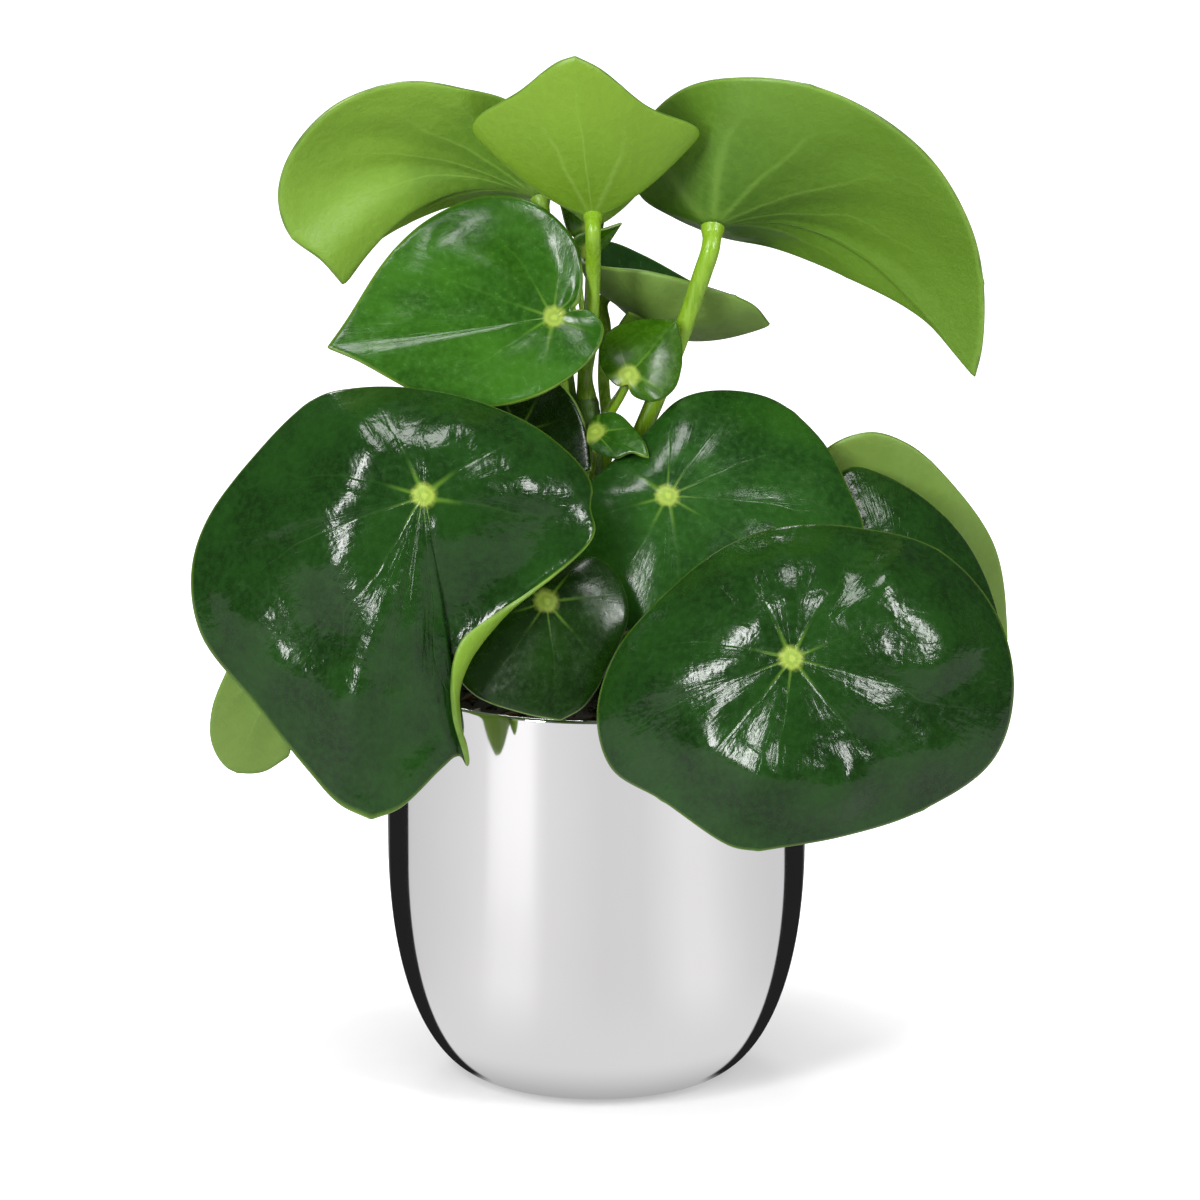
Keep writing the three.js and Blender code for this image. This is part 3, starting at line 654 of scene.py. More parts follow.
def under_skin(name, veins, hub, edge, vein):
    """Satin underside: pale green, the paleness partly painted light through the blade, with soft veins and
    a grainy surface.
    """
    material, n, shader = new_material(name, edge)
    spokes, plane, place = leaf_maps(n)
    masks = shared(n, VEINS, Spokes=spokes, Plane=plane, Vein_Count=float(veins), Vein_Width=0.0016)
    mottle = shared(n, MOTTLE, Place=place, Broad=30.0, Fine=400.0)
    out_from_hub = n.step(masks["Distance"], 0.004, 0.055)
    green = n.mix(out_from_hub, rgb(hub), rgb(edge))
    green = n.tint(green, mottle["Broad"], 0.35, shade(edge, 0.8))
    green = n.tint(green, mottle["Fine"], 0.2, shade(edge, 1.2))
    green = n.tint(green, masks["Veins"], 0.5, vein)
    green = n.tint(green, masks["Margin"], 0.6, (0.14, 0.26, 0.03))
    n.feed(shader.inputs["Base Color"], green)
    n.feed(shader.inputs["Roughness"], n.math("MULTIPLY_ADD", mottle["Fine"], 0.12, 0.40))
    ribs = n.math("MULTIPLY_ADD", masks["Veins"], 0.5, mottle["Fine"])
    n.feed(shader.inputs["Normal"], n.bump(ribs, 0.08))
    shader.inputs["Specular IOR Level"].default_value = 0.32
    return material


def margin_skin():
    """The thin pale edge of a blade."""
    material, n, shader = new_material("leaf margin", MARGIN_GREEN)
    place = n.add("ShaderNodeTexCoord").outputs["Object"]
    mottle = shared(n, MOTTLE, Place=place, Broad=90.0)
    green = n.mix(mottle["Broad"], rgb((0.07, 0.15, 0.010)), rgb((0.15, 0.26, 0.03)))
    n.feed(shader.inputs["Base Color"], green)
    n.feed(shader.inputs["Roughness"], n.math("MULTIPLY_ADD", mottle["Fine"], 0.1, 0.32))
    return material


def stalk_skin(name, low, high, streak, rough):
    """Smooth fleshy stalk: streaks along it, a little darker in places."""
    material, n, shader = new_material(name, high)
    place = n.add("ShaderNodeTexCoord").outputs["Object"]
    drawn = n.add("ShaderNodeMapping", {"Vector": place, "Scale": (1.0, 1.0, 0.12)}).outputs[0]
    streaks = n.step(n.noise(drawn, 900.0, 3.0, 0.6), 0.35, 0.7)
    mottle = shared(n, MOTTLE, Place=place, Broad=60.0)
    green = n.mix(mottle["Broad"], rgb(low), rgb(high))
    green = n.tint(green, streaks, 0.45, streak)
    n.feed(shader.inputs["Base Color"], green)
    n.feed(shader.inputs["Roughness"], n.math("MULTIPLY_ADD", streaks, 0.12, rough))
    n.feed(shader.inputs["Normal"], n.bump(streaks, 0.06))
    return material


def stem_skin():
    """The main stem: dark green, darker and browner towards its foot with painted shade, with pale lenticels
    and rings where old leaves fell.
    """
    material, n, shader = new_material("stem skin", (0.04, 0.1, 0.01))
    place = n.add("ShaderNodeTexCoord").outputs["Object"]
    drawn = n.add("ShaderNodeMapping", {"Vector": place, "Scale": (1.0, 1.0, 0.25)}).outputs[0]
    bark = n.step(n.noise(drawn, 420.0, 4.0, 0.6), 0.3, 0.7)
    mottle = shared(n, MOTTLE, Place=place, Broad=70.0)
    # Painted shade: the stem is darker low down under the leaves and greener towards the top.
    height = n.add("ShaderNodeSeparateXYZ", {"Vector": place}).outputs["Z"]
    young = n.step(height, 0.13, 0.20)
    green = n.mix(young, rgb((0.035, 0.05, 0.012)), rgb((0.07, 0.17, 0.014)))
    green = n.tint(green, bark, 0.5, (0.05, 0.075, 0.015))
    green = n.tint(green, mottle["Specks"], 0.5, (0.20, 0.24, 0.08))
    n.feed(shader.inputs["Base Color"], green)
    n.feed(shader.inputs["Roughness"], n.math("MULTIPLY_ADD", bark, 0.2, 0.4))
    n.feed(shader.inputs["Normal"], n.bump(bark, 0.25))
    return material


def soil_material(name, dark, light, grain):
    """Damp potting soil: nearly black, with brown fibres."""
    material, n, shader = new_material(name, light)
    place = n.add("ShaderNodeTexCoord").outputs["Object"]
    lumps = n.step(n.noise(place, grain, 5.0, 0.65), 0.3, 0.72)
    fibres = n.step(n.noise(place, grain * 5, 3.0, 0.6), 0.45, 0.75)
    brown = n.mix(lumps, rgb(dark), rgb(light))
    brown = n.tint(brown, fibres, 0.4, shade(light, 1.9))
    n.feed(shader.inputs["Base Color"], brown)
    n.feed(shader.inputs["Roughness"], n.math("MULTIPLY_ADD", lumps, 0.2, 0.72))
    n.feed(shader.inputs["Normal"], n.bump(lumps, 0.9))
    return material


def chrome_material():
    """Polished chrome with the faintest unevenness of plated metal."""
    material, n, shader = new_material("polished chrome", (0.8, 0.8, 0.82))
    place = n.add("ShaderNodeTexCoord").outputs["Object"]
    cloud = n.noise(place, 22.0, 2.0)
    haze = n.noise(place, 240.0, 3.0)
    silver = n.mix(cloud, rgb((0.885, 0.885, 0.895)), rgb((0.93, 0.93, 0.935)))
    n.feed(shader.inputs["Base Color"], silver)
    n.feed(shader.inputs["Roughness"], n.math("MULTIPLY_ADD", haze, 0.03, 0.05))
    shader.inputs["Metallic"].default_value = 1.0
    n.feed(shader.inputs["Normal"], n.bump(cloud, 0.02, 0.4))
    return material


# ---------------------------------------------------------------------------------------------------
# Leaves


def upper_direction(leaf):
    """The upper side's direction: the rim's own plane, unless the leaf states it."""
    if "facing" in leaf:
        return Vector(leaf["facing"]).normalized()
    normal = Vector()
    rim = [Vector(p) for p in leaf["rim"]]
    for i, point in enumerate(rim):
        normal += point.cross(rim[(i + 1) % len(rim)])
    return normal.normalized()


def disc_place(x, y):
    """A square's point moved to the disc: its distance from the middle, and its turn (0 to 1)."""
    if abs(x) >= abs(y):
        if x == 0:
            return 0.0, 0.0
        turn = 0.125 * (y / x) + (0.0 if x > 0 else 0.5)
        return abs(x), turn % 1
    turn = (0.25 if y > 0 else 0.75) - 0.125 * (x / y)
    return abs(y), turn % 1


def line_distance(place, line):
    """Distance from a point to a polyline, and how far along it that is (0 to 1)."""
    best, share = 1e9, 0.0
    for i, (a, b) in enumerate(zip(line, line[1:])):
        a, b = Vector(a), Vector(b)
        run = b - a
        w = (place - a).dot(run) / run.length_squared
        clamped = min(max(w, 0.0), 1.0)
        gap = (place - a - run * clamped).length
        if gap < best:
            best, share = gap, (i + clamped) / (len(line) - 1)
    return best, share


def blade_point(leaf, form, number, shape, t, turn):
    """A point of the blade's middle sheet, in mm."""
    hub, normal, rim = shape
    spoke = along(rim, turn) - hub
    height = spoke.dot(normal)
    flat = spoke - normal * height
    bow = 4 * t * (1 - t) * leaf.get("bow", 0) * flat.length
    point = hub + flat * t + normal * (height * t * t + bow)

    calm = t * t * (1 - t ** 6)
    lift = -form["dish"] * math.exp(-(t / 0.22) ** 2) * t * 4
    swell = 0.5 - 0.5 * math.cos(2 * math.pi * turn * form["veins"])
    lift += (swell - 0.5) * 0.45 * form["wave"] * math.sin(math.pi * t) ** 1.2
    here = flat * t
    waving = noise.noise(here * 0.045 + Vector((number * 7.3, 1.7, 4.1)))
    waving += 0.5 * noise.noise(here * 0.11 + Vector((number * 3.1, 8.2, 0.4)))
    lift += waving * form["wave"] * 1.5 * calm
    for fold in FOLDS.get(leaf["name"], ()):
        gap, share = line_distance(Vector((point.x, point.z)), fold["line"])
        ends = eased(0.0, 0.18, share) * eased(1.0, 0.82, share) if len(fold["line"]) > 2 else 1.0
        lift += fold["height"] * math.exp(-(gap / fold["width"]) ** 2) * ends * eased(1.0, 0.8, t)
    return point + normal * lift


def rolled_point(leaf, form, number, shape, reach, turn):
    """A point of a blade whose margin rolls over along part of its rim, in mm."""
    normal, corners = shape[1], len(shape[2]) - 1
    fade_in = eased(ROLL["start"], ROLL["start"] + 1.8, turn * corners)
    share = fade_in * eased(ROLL["end"], ROLL["end"] - 3.4, turn * corners)
    t = reach + (min(1.0, reach / ROLL["share"]) * ROLL["inset"] - reach) * share
    point = blade_point(leaf, form, number, shape, t, turn)
    bend = max(0.0, (reach - ROLL["share"]) / (1 - ROLL["share"])) * share
    if bend <= 0:
        return point
    inner = blade_point(leaf, form, number, shape, ROLL["inset"] - 0.03, turn)
    edge = blade_point(leaf, form, number, shape, ROLL["inset"], turn)
    out = (edge - inner).normalized()
    rise = (out.cross(out.cross(normal)) * -1).normalized()
    angle, size = math.radians(ROLL["turn"]) * bend, eased(0.0, 0.5, share)
    point = point + out * ROLL["out"] * size * math.sin(angle)
    return point + rise * ROLL["up"] * size * (1 - math.cos(angle))


def blade_cells(hub, rim):
    """How many cells across the blade's grid has, from how far it reaches."""
    reach = max((p - hub).length for p in rim)
    return 44 if reach > 60 else 36 if reach > 42 else 28 if reach > 22 else 20


def blade(leaf, number):
    """A leaf blade: a grid drawn out to the leaf's outline, waved, thickened and smoothed."""
    form = FORMS[leaf["name"]]
    hub = Vector(leaf["hub"])
    normal = upper_direction(leaf)
    rim = [Vector(p) for p in leaf["rim"]]
    rim.append(rim[0])
    shape = (hub, normal, rim)
    cells = blade_cells(hub, rim)

    bpy.ops.object.select_all(action="DESELECT")
    bpy.ops.mesh.primitive_grid_add(x_subdivisions=cells, y_subdivisions=cells, size=2)
    piece = bpy.context.object
    piece.name = "blade_" + leaf["name"]
    mesh = piece.data
    mesh.name = piece.name

    tip = rim[0] - hub
    tip = (tip - normal * tip.dot(normal)).normalized()
    side = normal.cross(tip)
    rolling = leaf["name"] == ROLL["leaf"]
    maps = []
    for vertex in mesh.vertices:
        reach, turn = disc_place(vertex.co.x, vertex.co.y)
        if rolling:
            point = rolled_point(leaf, form, number, shape, reach, turn)
        else:
            point = blade_point(leaf, form, number, shape, reach, turn)
        vertex.co = point * MM
        angle, across = 2 * math.pi * turn, point - hub
        maps.append((
            (reach * math.cos(angle) * 0.5 + 0.5, reach * math.sin(angle) * 0.5 + 0.5),
            tuple(across.dot(way) * MM / PLANE_SPAN + 0.5 for way in (tip, side)),
        ))

    mesh.uv_layers[0].name = "spokes"
    mesh.uv_layers.new(name="plane")
    for layer, name in enumerate(("spokes", "plane")):
        loops = mesh.uv_layers[name].data
        for loop in mesh.loops:
            loops[loop.index].uv = maps[loop.vertex_index][layer]

    thickness = YOUNG_BLADE_THICKNESS if leaf.get("young") else BLADE_THICKNESS
    for material in (skin_of(form, "upper"), skin_of(form, "under"), MARGIN):
        mesh.materials.append(material)
    apply_modifier(
        piece, "SOLIDIFY", "thickness", thickness=thickness * MM, offset=0.0,
        material_offset=1, material_offset_rim=2, use_even_offset=False,
    )
    apply_modifier(piece, "SUBSURF", "rounding", levels=1, render_levels=1)
    smooth(piece)
    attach(piece, "root")
    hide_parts("leaf_" + leaf["name"])
    return piece


SKINS = {}


def skin_of(form, side):
    """The form's upper or under skin, made once for each look and number of veins."""
    key = (side, form[side], form["veins"])
    if key not in SKINS:
        make, looks = {"upper": (upper_skin, UPPER), "under": (under_skin, UNDER)}[side]
        SKINS[key] = make("%s skin %s %d" % key, form["veins"], **looks[form[side]])
    return SKINS[key]


# ---------------------------------------------------------------------------------------------------
# Stalks and stem


def round_bar(name, points, radii, sides):
    """A round bar through the points, with its own radius at each: a bevelled curve made a mesh."""
    bpy.ops.object.select_all(action="DESELECT")
    bpy.ops.curve.primitive_nurbs_path_add(radius=1)
    piece = bpy.context.object
    piece.name = name
    curve = piece.data
    curve.splines.clear()
    spline = curve.splines.new("POLY")
    spline.points.add(len(points) - 1)
    for point, place, radius in zip(spline.points, points, radii):
        point.co = (*place, 1)
        point.radius = radius
    curve.bevel_depth = 1.0
    curve.bevel_resolution = sides // 4
    curve.use_fill_caps = True
    curve.twist_mode = "MINIMUM"
    only(piece)
    bpy.ops.object.convert(target="MESH")
    piece = bpy.context.object
    bpy.ops.object.mode_set(mode="EDIT")
    bpy.ops.mesh.select_all(action="SELECT")
    bpy.ops.mesh.remove_doubles(threshold=1e-6)
    bpy.ops.mesh.normals_make_consistent(inside=False)
    bpy.ops.object.mode_set(mode="OBJECT")
    smooth(piece, 50)
    return piece


def stalk(leaf, number):
    """A leaf stalk: clasps the stem at its foot and widens where it meets the blade."""
    info = leaf["stalk"]
    normal = upper_direction(leaf)
    radius = info["radius"]
    thickness = YOUNG_BLADE_THICKNESS if leaf.get("young") else BLADE_THICKNESS
    end = Vector(leaf["hub"]) - normal * 0.3 * thickness
    neck = end - normal * STALK_NECK * (radius / 2)
    if info.get("from_top"):
        start = stem_point(STEM_TOP_Z - 3) / MM
        sheath = stem_point(STEM_TOP_Z + STALK_SHEATH) / MM
    else:
        angle = math.radians(info["angle"])
        way = Vector((math.cos(angle), math.sin(angle), 0))
        start = stem_point(info["height"] - 2.0) / MM + way * (STEM_RADIUS - 1.6)
        sheath = stem_point(info["height"] + STALK_SHEATH) / MM + way * (STEM_RADIUS + radius + 0.2)
    route = [start, sheath, *(Vector(p) for p in info["via"]), neck, end]
    steps = 40
    points, radii = [], []
    whole = sum((b - a).length for a, b in zip(route, route[1:]))
    for i in range(steps + 1):
        share = i / steps
        points.append(along(route, share) * MM)
        from_foot, from_hub = share * whole, (1 - share) * whole
        width = 1 + 0.35 * math.exp(-(from_foot / 6) ** 2) + 0.28 * math.exp(-(from_hub / 4.5) ** 2)
        width += 0.03 * noise.noise(Vector((number * 2.7, share * 9, 0.5)))
        radii.append(radius * width * MM)
    piece = round_bar("stalk_" + leaf["name"], points, radii, 16)
    bright = leaf["name"] in ("top_centre", "top_right", "young_upper", "young_lower", "back_right")
    piece.data.materials.append(STALK_BRIGHT if bright else STALK_GREEN)
    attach(piece, "root")
    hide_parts("petiole_" + leaf["name"])
    return piece


def main_stem():
    """The upright stem, thinner towards the top, with a ring at each stalk's foot."""
    rings = [leaf["stalk"]["height"] for leaf in LEAVES if "height" in leaf["stalk"]]
    points, radii = [], []
    steps = 150
    for i in range(steps + 1):
        z = STEM_FOOT_Z + (STEM_TOP_Z - STEM_FOOT_Z) * i / steps
        bulge = sum(math.exp(-((z - ring) / 1.3) ** 2) for ring in rings)
        taper = 1.04 - 0.2 * i / steps
        close = 1 - 0.35 * eased(STEM_TOP_Z - 5, STEM_TOP_Z, z)
        rough = 0.05 * noise.noise(Vector((0, 0, z * 0.6)))
        points.append(stem_point(z))
        radii.append(STEM_RADIUS * MM * (taper * close + 0.10 * min(bulge, 1.3) + rough))
    piece = round_bar("main_stem", points, radii, 28)
    piece.data.materials.append(stem_skin())
    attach(piece, "root")
    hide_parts("stem")
    return piece


# ---------------------------------------------------------------------------------------------------
# Pot and soil


def turned_rings(name, profile, sides):
    """A round body drawn up ring by ring: each (radius, height) is the last ring extruded and resized."""
    (first_radius, first_height), *others = profile
    bpy.ops.object.select_all(action="DESELECT")
    bpy.ops.mesh.primitive_circle_add(
        vertices=sides, radius=first_radius * MM, fill_type="NGON", location=(0, 0, first_height * MM)
    )
    piece = bpy.context.object
    piece.name = name
    only(piece)
    bpy.ops.object.transform_apply(location=True, rotation=True, scale=True)
    bpy.ops.object.mode_set(mode="EDIT")
    bpy.ops.mesh.select_mode(type="EDGE")
    bpy.ops.mesh.select_all(action="SELECT")
    radius, height = first_radius, first_height
    for next_radius, next_height in others:
        bpy.ops.mesh.extrude_edges_move(
            TRANSFORM_OT_translate={"value": (0, 0, (next_height - height) * MM)}
        )
        ratio = next_radius / radius
        bpy.ops.transform.resize(value=(ratio, ratio, 1), center_override=(0, 0, next_height * MM))
        radius, height = next_radius, next_height
    bpy.ops.mesh.edge_face_add()
    bpy.ops.mesh.select_all(action="SELECT")
    bpy.ops.mesh.normals_make_consistent(inside=False)
    bpy.ops.object.mode_set(mode="OBJECT")
    return piece


def planter():
    """The pot: flat foot, round belly, straight wall, rounded lip, and a clean inside."""
    profile = [(POT_FOOT_RADIUS - 1.4, 0.0), (POT_FOOT_RADIUS - 0.6, 0.0)]
    belly = []
    steps = 30
    for i in range(1, steps + 1):
        turn = (math.pi / 2) * (i / steps)
        z = POT_BELLY_HEIGHT * (1 - math.cos(turn)) ** 1.15
        belly.append(z)
    profile += [(pot_radius(z), z) for z in belly]
    profile += [(pot_radius(z), z) for z in (80, 90, 100, 108, 114, 117)]
    lip = POT_WALL / 2
    for i in range(9):
        turn = math.pi * i / 8
        across, up = lip * math.cos(turn), lip * math.sin(turn)
        profile.append((POT_RIM_RADIUS - lip + across, POT_HEIGHT - lip + up))
    profile += [(pot_radius(z) - POT_WALL, z) for z in (114, 100, 85)]
    inside = [z for z in reversed(belly) if z > POT_FLOOR + 1]
    profile += [(pot_radius(z) - POT_WALL, z) for z in inside]
    profile.append((POT_FOOT_RADIUS - POT_WALL, POT_FLOOR))
    piece = turned_rings("planter", profile, POT_SIDES)
    apply_modifier(piece, "SUBSURF", "rounding", levels=1, render_levels=1)
    smooth(piece, 40)
    piece.data.materials.append(chrome_material())
    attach(piece, "root")
    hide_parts("pot")
    return piece


def soil_height(x, y):
    """Height of the soil's top at a place, in mm."""
    r = math.hypot(x, y)
    base = SOIL_EDGE + SOIL_CROWN * (1 - (r / POT_RIM_RADIUS) ** 2)
    lumps = noise.noise(Vector((x * 0.09, y * 0.09, 2.0))) * 1.1
    lumps += noise.noise(Vector((x * 0.3, y * 0.3, 5.0))) * 0.7
    return base + lumps * eased(POT_RIM_RADIUS, POT_RIM_RADIUS - 6, r) - 0.4 * eased(50, 58, r)


def potting_soil():
    """The soil: a plug that fills the pot, lumpy on top."""
    inset = POT_WALL + 0.35
    profile = [(POT_FOOT_RADIUS - inset - 1, POT_FLOOR + 0.3)]
    profile += [(pot_radius(z) - inset, z) for z in (6, 14, 26, 42, 60, 80, 100)]
    edge = pot_radius(SOIL_EDGE) - inset
    profile.append((edge, SOIL_EDGE))
    rings = 30
    for i in range(1, rings + 1):
        profile.append((edge * (1 - i / rings) + 0.4 * i / rings, SOIL_EDGE + 0.001))
    piece = turned_rings("potting_soil", profile, SOIL_SIDES)
    for vertex in piece.data.vertices:
        if vertex.co.z > (SOIL_EDGE - 0.5) * MM:
            vertex.co.z = soil_height(vertex.co.x / MM, vertex.co.y / MM) * MM
    smooth(piece, 60)
    piece.data.materials.append(
        soil_material("potting soil", (0.006, 0.0045, 0.003), (0.028, 0.019, 0.011), 300.0)
    )
    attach(piece, "root")
    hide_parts("soil")
    return piece


def soil_crumbs():
    """Crumbs of soil, chips of bark and a few pale grains, lying on the soil."""
    rng = random.Random(41)
    dark = soil_material("soil crumbs", (0.008, 0.006, 0.004), (0.045, 0.028, 0.015), 500.0)
    bark = soil_material("bark chips", (0.03, 0.016, 0.008), (0.11, 0.058, 0.028), 260.0)
    pale = soil_material("pale grains", (0.30, 0.28, 0.24), (0.52, 0.50, 0.45), 400.0)

    bpy.ops.object.select_all(action="DESELECT")
    bpy.ops.mesh.primitive_ico_sphere_add(subdivisions=1, radius=1)
    crumb = bpy.context.object
    only(crumb)
    bpy.ops.mesh.primitive_cube_add(size=2)
    chip = bpy.context.object
    chip.data.materials.append(bark)
    apply_modifier(chip, "BEVEL", "worn edges", width=0.25, segments=1)

    pieces = []
    for _ in range(CRUMBS):
        kind = rng.random()
        source = chip if kind < 0.16 else crumb
        r = 57.2 * math.sqrt(rng.random())
        turn = rng.uniform(0, 2 * math.pi)
        x, y = r * math.cos(turn), r * math.sin(turn)
        if math.hypot(x, y) < 6:
            x += 9
        size = rng.uniform(0.5, 1.5) if source is crumb else rng.uniform(0.9, 2.2)
        stretch = Vector((rng.uniform(0.8, 1.7), rng.uniform(0.7, 1.3), rng.uniform(0.5, 0.9)))
        if source is chip:
            stretch = Vector((rng.uniform(1.2, 2.0), rng.uniform(0.5, 0.9), rng.uniform(0.25, 0.4)))
        reach = size * max(stretch)
        limit = pot_radius(SOIL_EDGE) - POT_WALL - 0.4 - reach
        if math.hypot(x, y) > limit:
            shrink = limit / math.hypot(x, y)
            x, y = x * shrink, y * shrink
        copy = source.copy()
        copy.data = source.data.copy()
        bpy.context.collection.objects.link(copy)
        copy.rotation_euler = (rng.uniform(-0.5, 0.5), rng.uniform(-0.5, 0.5), rng.uniform(0, 6.28))
        copy.scale = stretch * size * MM
        copy.location = Vector((x, y, soil_height(x, y) + 0.25 * size)) * MM
        if source is crumb:
            copy.data.materials.append(pale if kind > 0.975 else dark)
            for vertex in copy.data.vertices:
                vertex.co *= rng.uniform(0.75, 1.2)
        pieces.append(copy)

    bpy.ops.object.select_all(action="DESELECT")
    for source in (crumb, chip):
        source.select_set(True)
    bpy.ops.object.delete()
    for copy in pieces:
        copy.select_set(True)
    bpy.context.view_layer.objects.active = pieces[0]
    bpy.ops.object.transform_apply(location=True, rotation=True, scale=True)
    bpy.ops.object.join()
    piece = bpy.context.object
    piece.name = "soil_crumbs"
    smooth(piece, 35)
    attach(piece, "root")
    return piece


# ---------------------------------------------------------------------------------------------------
# Studio


def studio_floor():
    """A pale floor, white to the camera but for a painted shadow round the pot's foot; to glossy rays it
    shows a painted reflection of bright sides and dark bands.
    """
    bpy.ops.object.select_all(action="DESELECT")
    bpy.ops.mesh.primitive_plane_add(size=16, location=(0, 0, -0.0002))
    floor = bpy.context.object
    floor.name = "studio_floor"
    material = bpy.data.materials.new("studio floor")
    material.use_nodes = True
    n = Nodes(material.node_tree)
    material.node_tree.nodes.clear()
    place = n.add("ShaderNodeNewGeometry").outputs["Position"]
    parts = n.add("ShaderNodeSeparateXYZ", {"Vector": place}).outputs
    reach = n.vector_math("LENGTH", place)
    left, ahead = (n.math("MULTIPLY", parts[axis], -1.0) for axis in "XY")
    bearing = n.math("MULTIPLY", n.math("ARCTAN2", left, ahead), 180 / math.pi)

    # Painted reflection: the floor's tone for glossy rays follows its bearing, plain grey close to the pot.
    turn = n.step_line(bearing, -120.0, 120.0)
    ramp = n.add("ShaderNodeValToRGB", {"Fac": turn})
    stops = ramp.color_ramp.elements
    for _ in range(len(PAINTED_REFLECTION_BY_BEARING) - 2):
        stops.new(0.5)
    for stop, (degrees, tone) in zip(stops, PAINTED_REFLECTION_BY_BEARING):
        stop.position = (degrees + 120) / 240
        stop.color = (tone, tone, tone, 1)
    tone = n.mix(n.step(reach, 0.05, 0.12), (0.74, 0.74, 0.74, 1), ramp.outputs["Color"])
    # Painted shade: the reflected floor darkens close to the pot's foot.
    tone = n.math("MULTIPLY", tone, n.step(reach, 0.032, 0.056, 0.55, 1.0))
    # Painted highlight: a brighter strip on the left side, further from the pot.
    painted_bright_strip = n.math("MULTIPLY", n.step(bearing, 28.0, 35.0), n.step(bearing, 53.0, 60.0, 1.0, 0.0))
    tone = n.math("ADD", tone, n.math("MULTIPLY", painted_bright_strip, n.step(reach, 0.12, 0.42, 0.0, 0.16)))
    # Painted reflection: near-black bands either side of the pot, greyer behind it, as black cloths would
    # give.
    aside = n.math("ABSOLUTE", parts["X"])
    side = n.math("MULTIPLY_ADD", aside, -0.68, parts["Y"])
    painted_dark_band = n.math("MULTIPLY", n.step(side, -0.047, -0.044), n.step(aside, 0.030, 0.038))
    behind = n.step(n.math("ABSOLUTE", bearing), 148.0, 158.0)
    dark = n.math("MULTIPLY_ADD", behind, 0.22, 0.016)
    painted_reflection = n.math("MULTIPLY_ADD", painted_dark_band, n.math("SUBTRACT", dark, tone), tone)

    path = n.add("ShaderNodeLightPath").outputs
    # Painted shadow: the floor glows less to the camera close to the pot's foot.
    glow_with_painted_shadow = n.step(reach, 0.03, 0.22, FLOOR_GLOW_IN_PAINTED_SHADOW, 1.02)
    extra = n.math("SUBTRACT", glow_with_painted_shadow, FLOOR_BOUNCE)
    glow_with_painted_shadow = n.math("MULTIPLY_ADD", path["Is Camera Ray"], extra, FLOOR_BOUNCE)
    diffuse = n.add("ShaderNodeBsdfDiffuse", {"Color": (0.5, 0.5, 0.5, 1)}).outputs[0]
    emission = n.add("ShaderNodeEmission", {"Strength": glow_with_painted_shadow}).outputs[0]
    plain = n.add("ShaderNodeAddShader", {0: diffuse, 1: emission}).outputs[0]
    seen = {"Color": (1.0, 0.985, 0.99, 1), "Strength": painted_reflection}
    reflected = n.add("ShaderNodeEmission", seen).outputs[0]
    shown = n.add("ShaderNodeMixShader", {0: path["Is Glossy Ray"], 1: plain, 2: reflected}).outputs[0]
    n.add("ShaderNodeOutputMaterial", {"Surface": shown})
    floor.data.materials.append(material)


def studio_world():
    """White behind the plant, and a softer grey light from all round."""
    world = bpy.data.worlds.new("studio")
    world.use_nodes = True
    bpy.context.scene.world = world
    n = Nodes(world.node_tree)
    world.node_tree.nodes.clear()
    path = n.add("ShaderNodeLightPath").outputs
    soft, dim, white = (
        n.add("ShaderNodeBackground", {"Color": (1, 1, 1, 1), "Strength": strength}).outputs[0]
        for strength in (WORLD_LIGHT, WORLD_MIRRORED, 1.02)
    )
    hidden = n.add("ShaderNodeMixShader", {0: path["Is Glossy Ray"], 1: soft, 2: dim}).outputs[0]
    seen = n.add("ShaderNodeMixShader", {0: path["Is Camera Ray"], 1: hidden, 2: white}).outputs[0]
    n.add("ShaderNodeOutputWorld", {"Surface": seen})


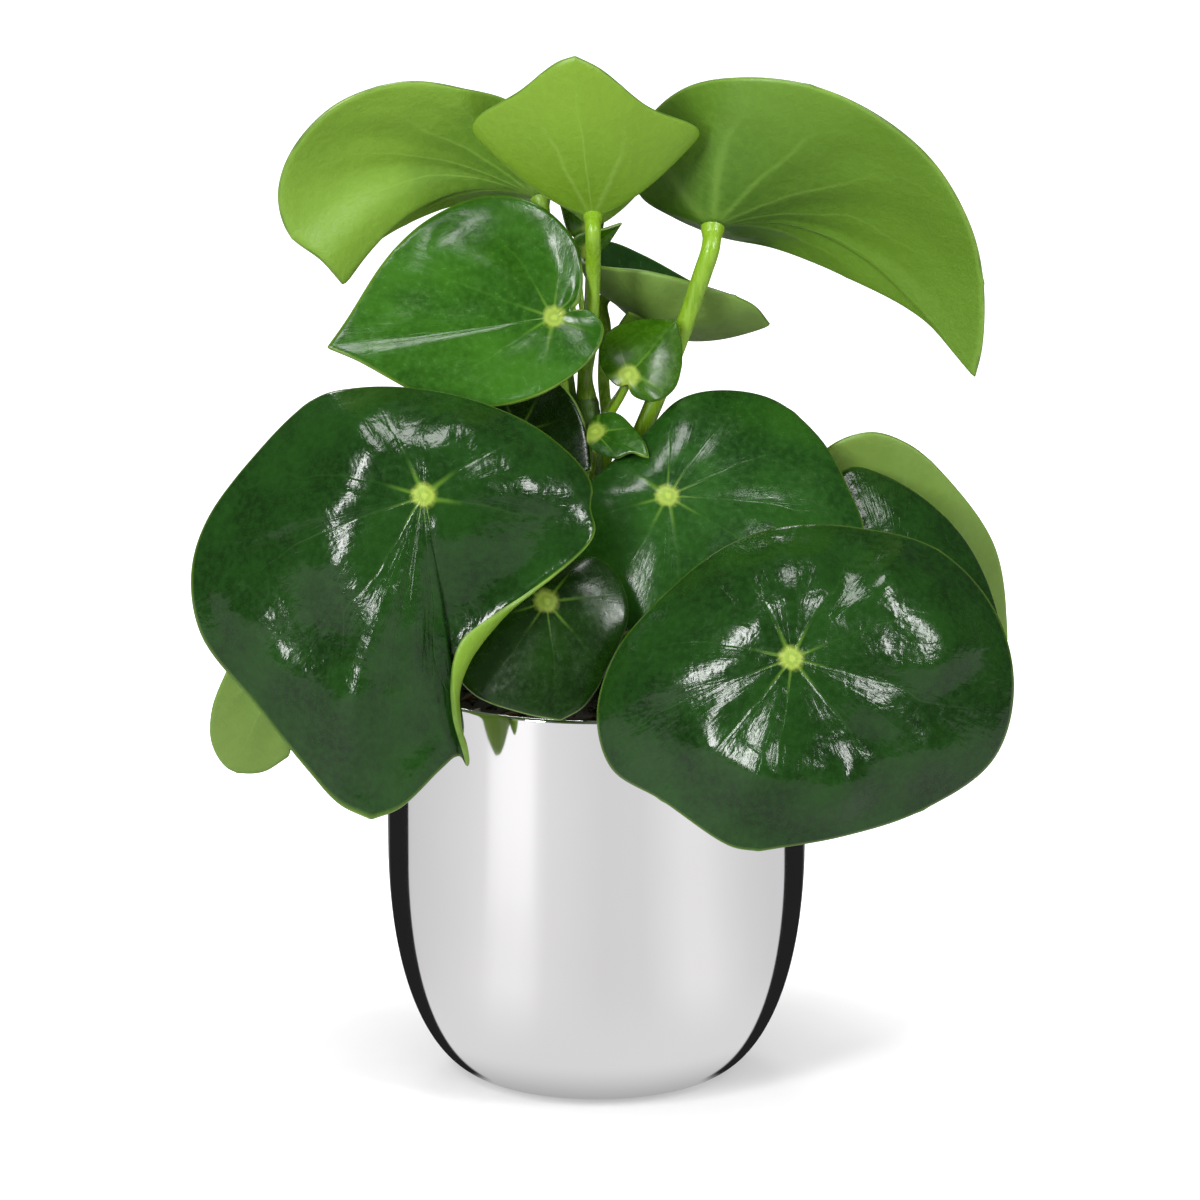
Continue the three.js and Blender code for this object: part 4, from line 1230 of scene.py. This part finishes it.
def softbox(name, place, width, height, radiance):
    """A soft area light that looks at the plant; radiance is its own brightness."""
    bpy.ops.object.select_all(action="DESELECT")
    bpy.ops.object.light_add(type="AREA", location=place)
    lamp = bpy.context.object
    lamp.name = name
    lamp.data.shape = "RECTANGLE"
    lamp.data.size = width
    lamp.data.size_y = height
    lamp.data.energy = radiance * math.pi * width * height
    lamp.rotation_euler = (PLANT_MIDDLE - Vector(place)).to_track_quat("-Z", "Y").to_euler()
    lamp.visible_camera = False


def from_bearing(bearing, elevation, distance):
    """A place seen from the plant: bearing from the front towards its left, elevation up, in degrees."""
    b, e = math.radians(bearing), math.radians(elevation)
    way = Vector((-math.sin(b) * math.cos(e), -math.cos(b) * math.cos(e), math.sin(e)))
    return PLANT_MIDDLE + way * distance


# Each soft light: its place, width, height and brightness.
SOFTBOXES = [
    ("key softbox", from_bearing(33, 27, 1.5), 0.25, 1.00, 32),
    ("right softbox", from_bearing(-46, 30, 1.6), 0.22, 0.75, 27),
    ("back softbox", from_bearing(170, 38, 1.7), 0.60, 0.50, 9),
    ("overhead softbox", (0, -0.15, 1.7), 0.50, 0.50, 12),
]


def camera():
    """A long lens, a little above the plant's middle."""
    lift = math.radians(CAMERA_ELEVATION)
    place = CAMERA_AIM + Vector((0, -math.cos(lift), math.sin(lift))) * CAMERA_DISTANCE
    bpy.ops.object.select_all(action="DESELECT")
    bpy.ops.object.camera_add(location=place, rotation=(math.pi / 2 - lift, 0, 0))
    lens = bpy.context.object
    lens.name = "camera"
    lens.data.lens = 300
    lens.data.sensor_width = 36
    lens.data.clip_end = 50
    bpy.context.scene.camera = lens


camera()
MARGIN = margin_skin()
STALK_BRIGHT = stalk_skin(
    "stalk skin bright", (0.12, 0.24, 0.006), (0.175, 0.33, 0.010), (0.25, 0.40, 0.035), 0.24
)
STALK_GREEN = stalk_skin(
    "stalk skin green", (0.12, 0.24, 0.012), (0.20, 0.36, 0.025), (0.27, 0.43, 0.05), 0.30
)

for number, leaf in enumerate(LEAVES):
    blade(leaf, number)
    stalk(leaf, number)
main_stem()
planter()
potting_soil()
soil_crumbs()

studio_floor()
studio_world()
for name, place, width, height, radiance in SOFTBOXES:
    softbox(name, place, width, height, radiance)

bpy.context.scene.view_settings.view_transform = "Standard"
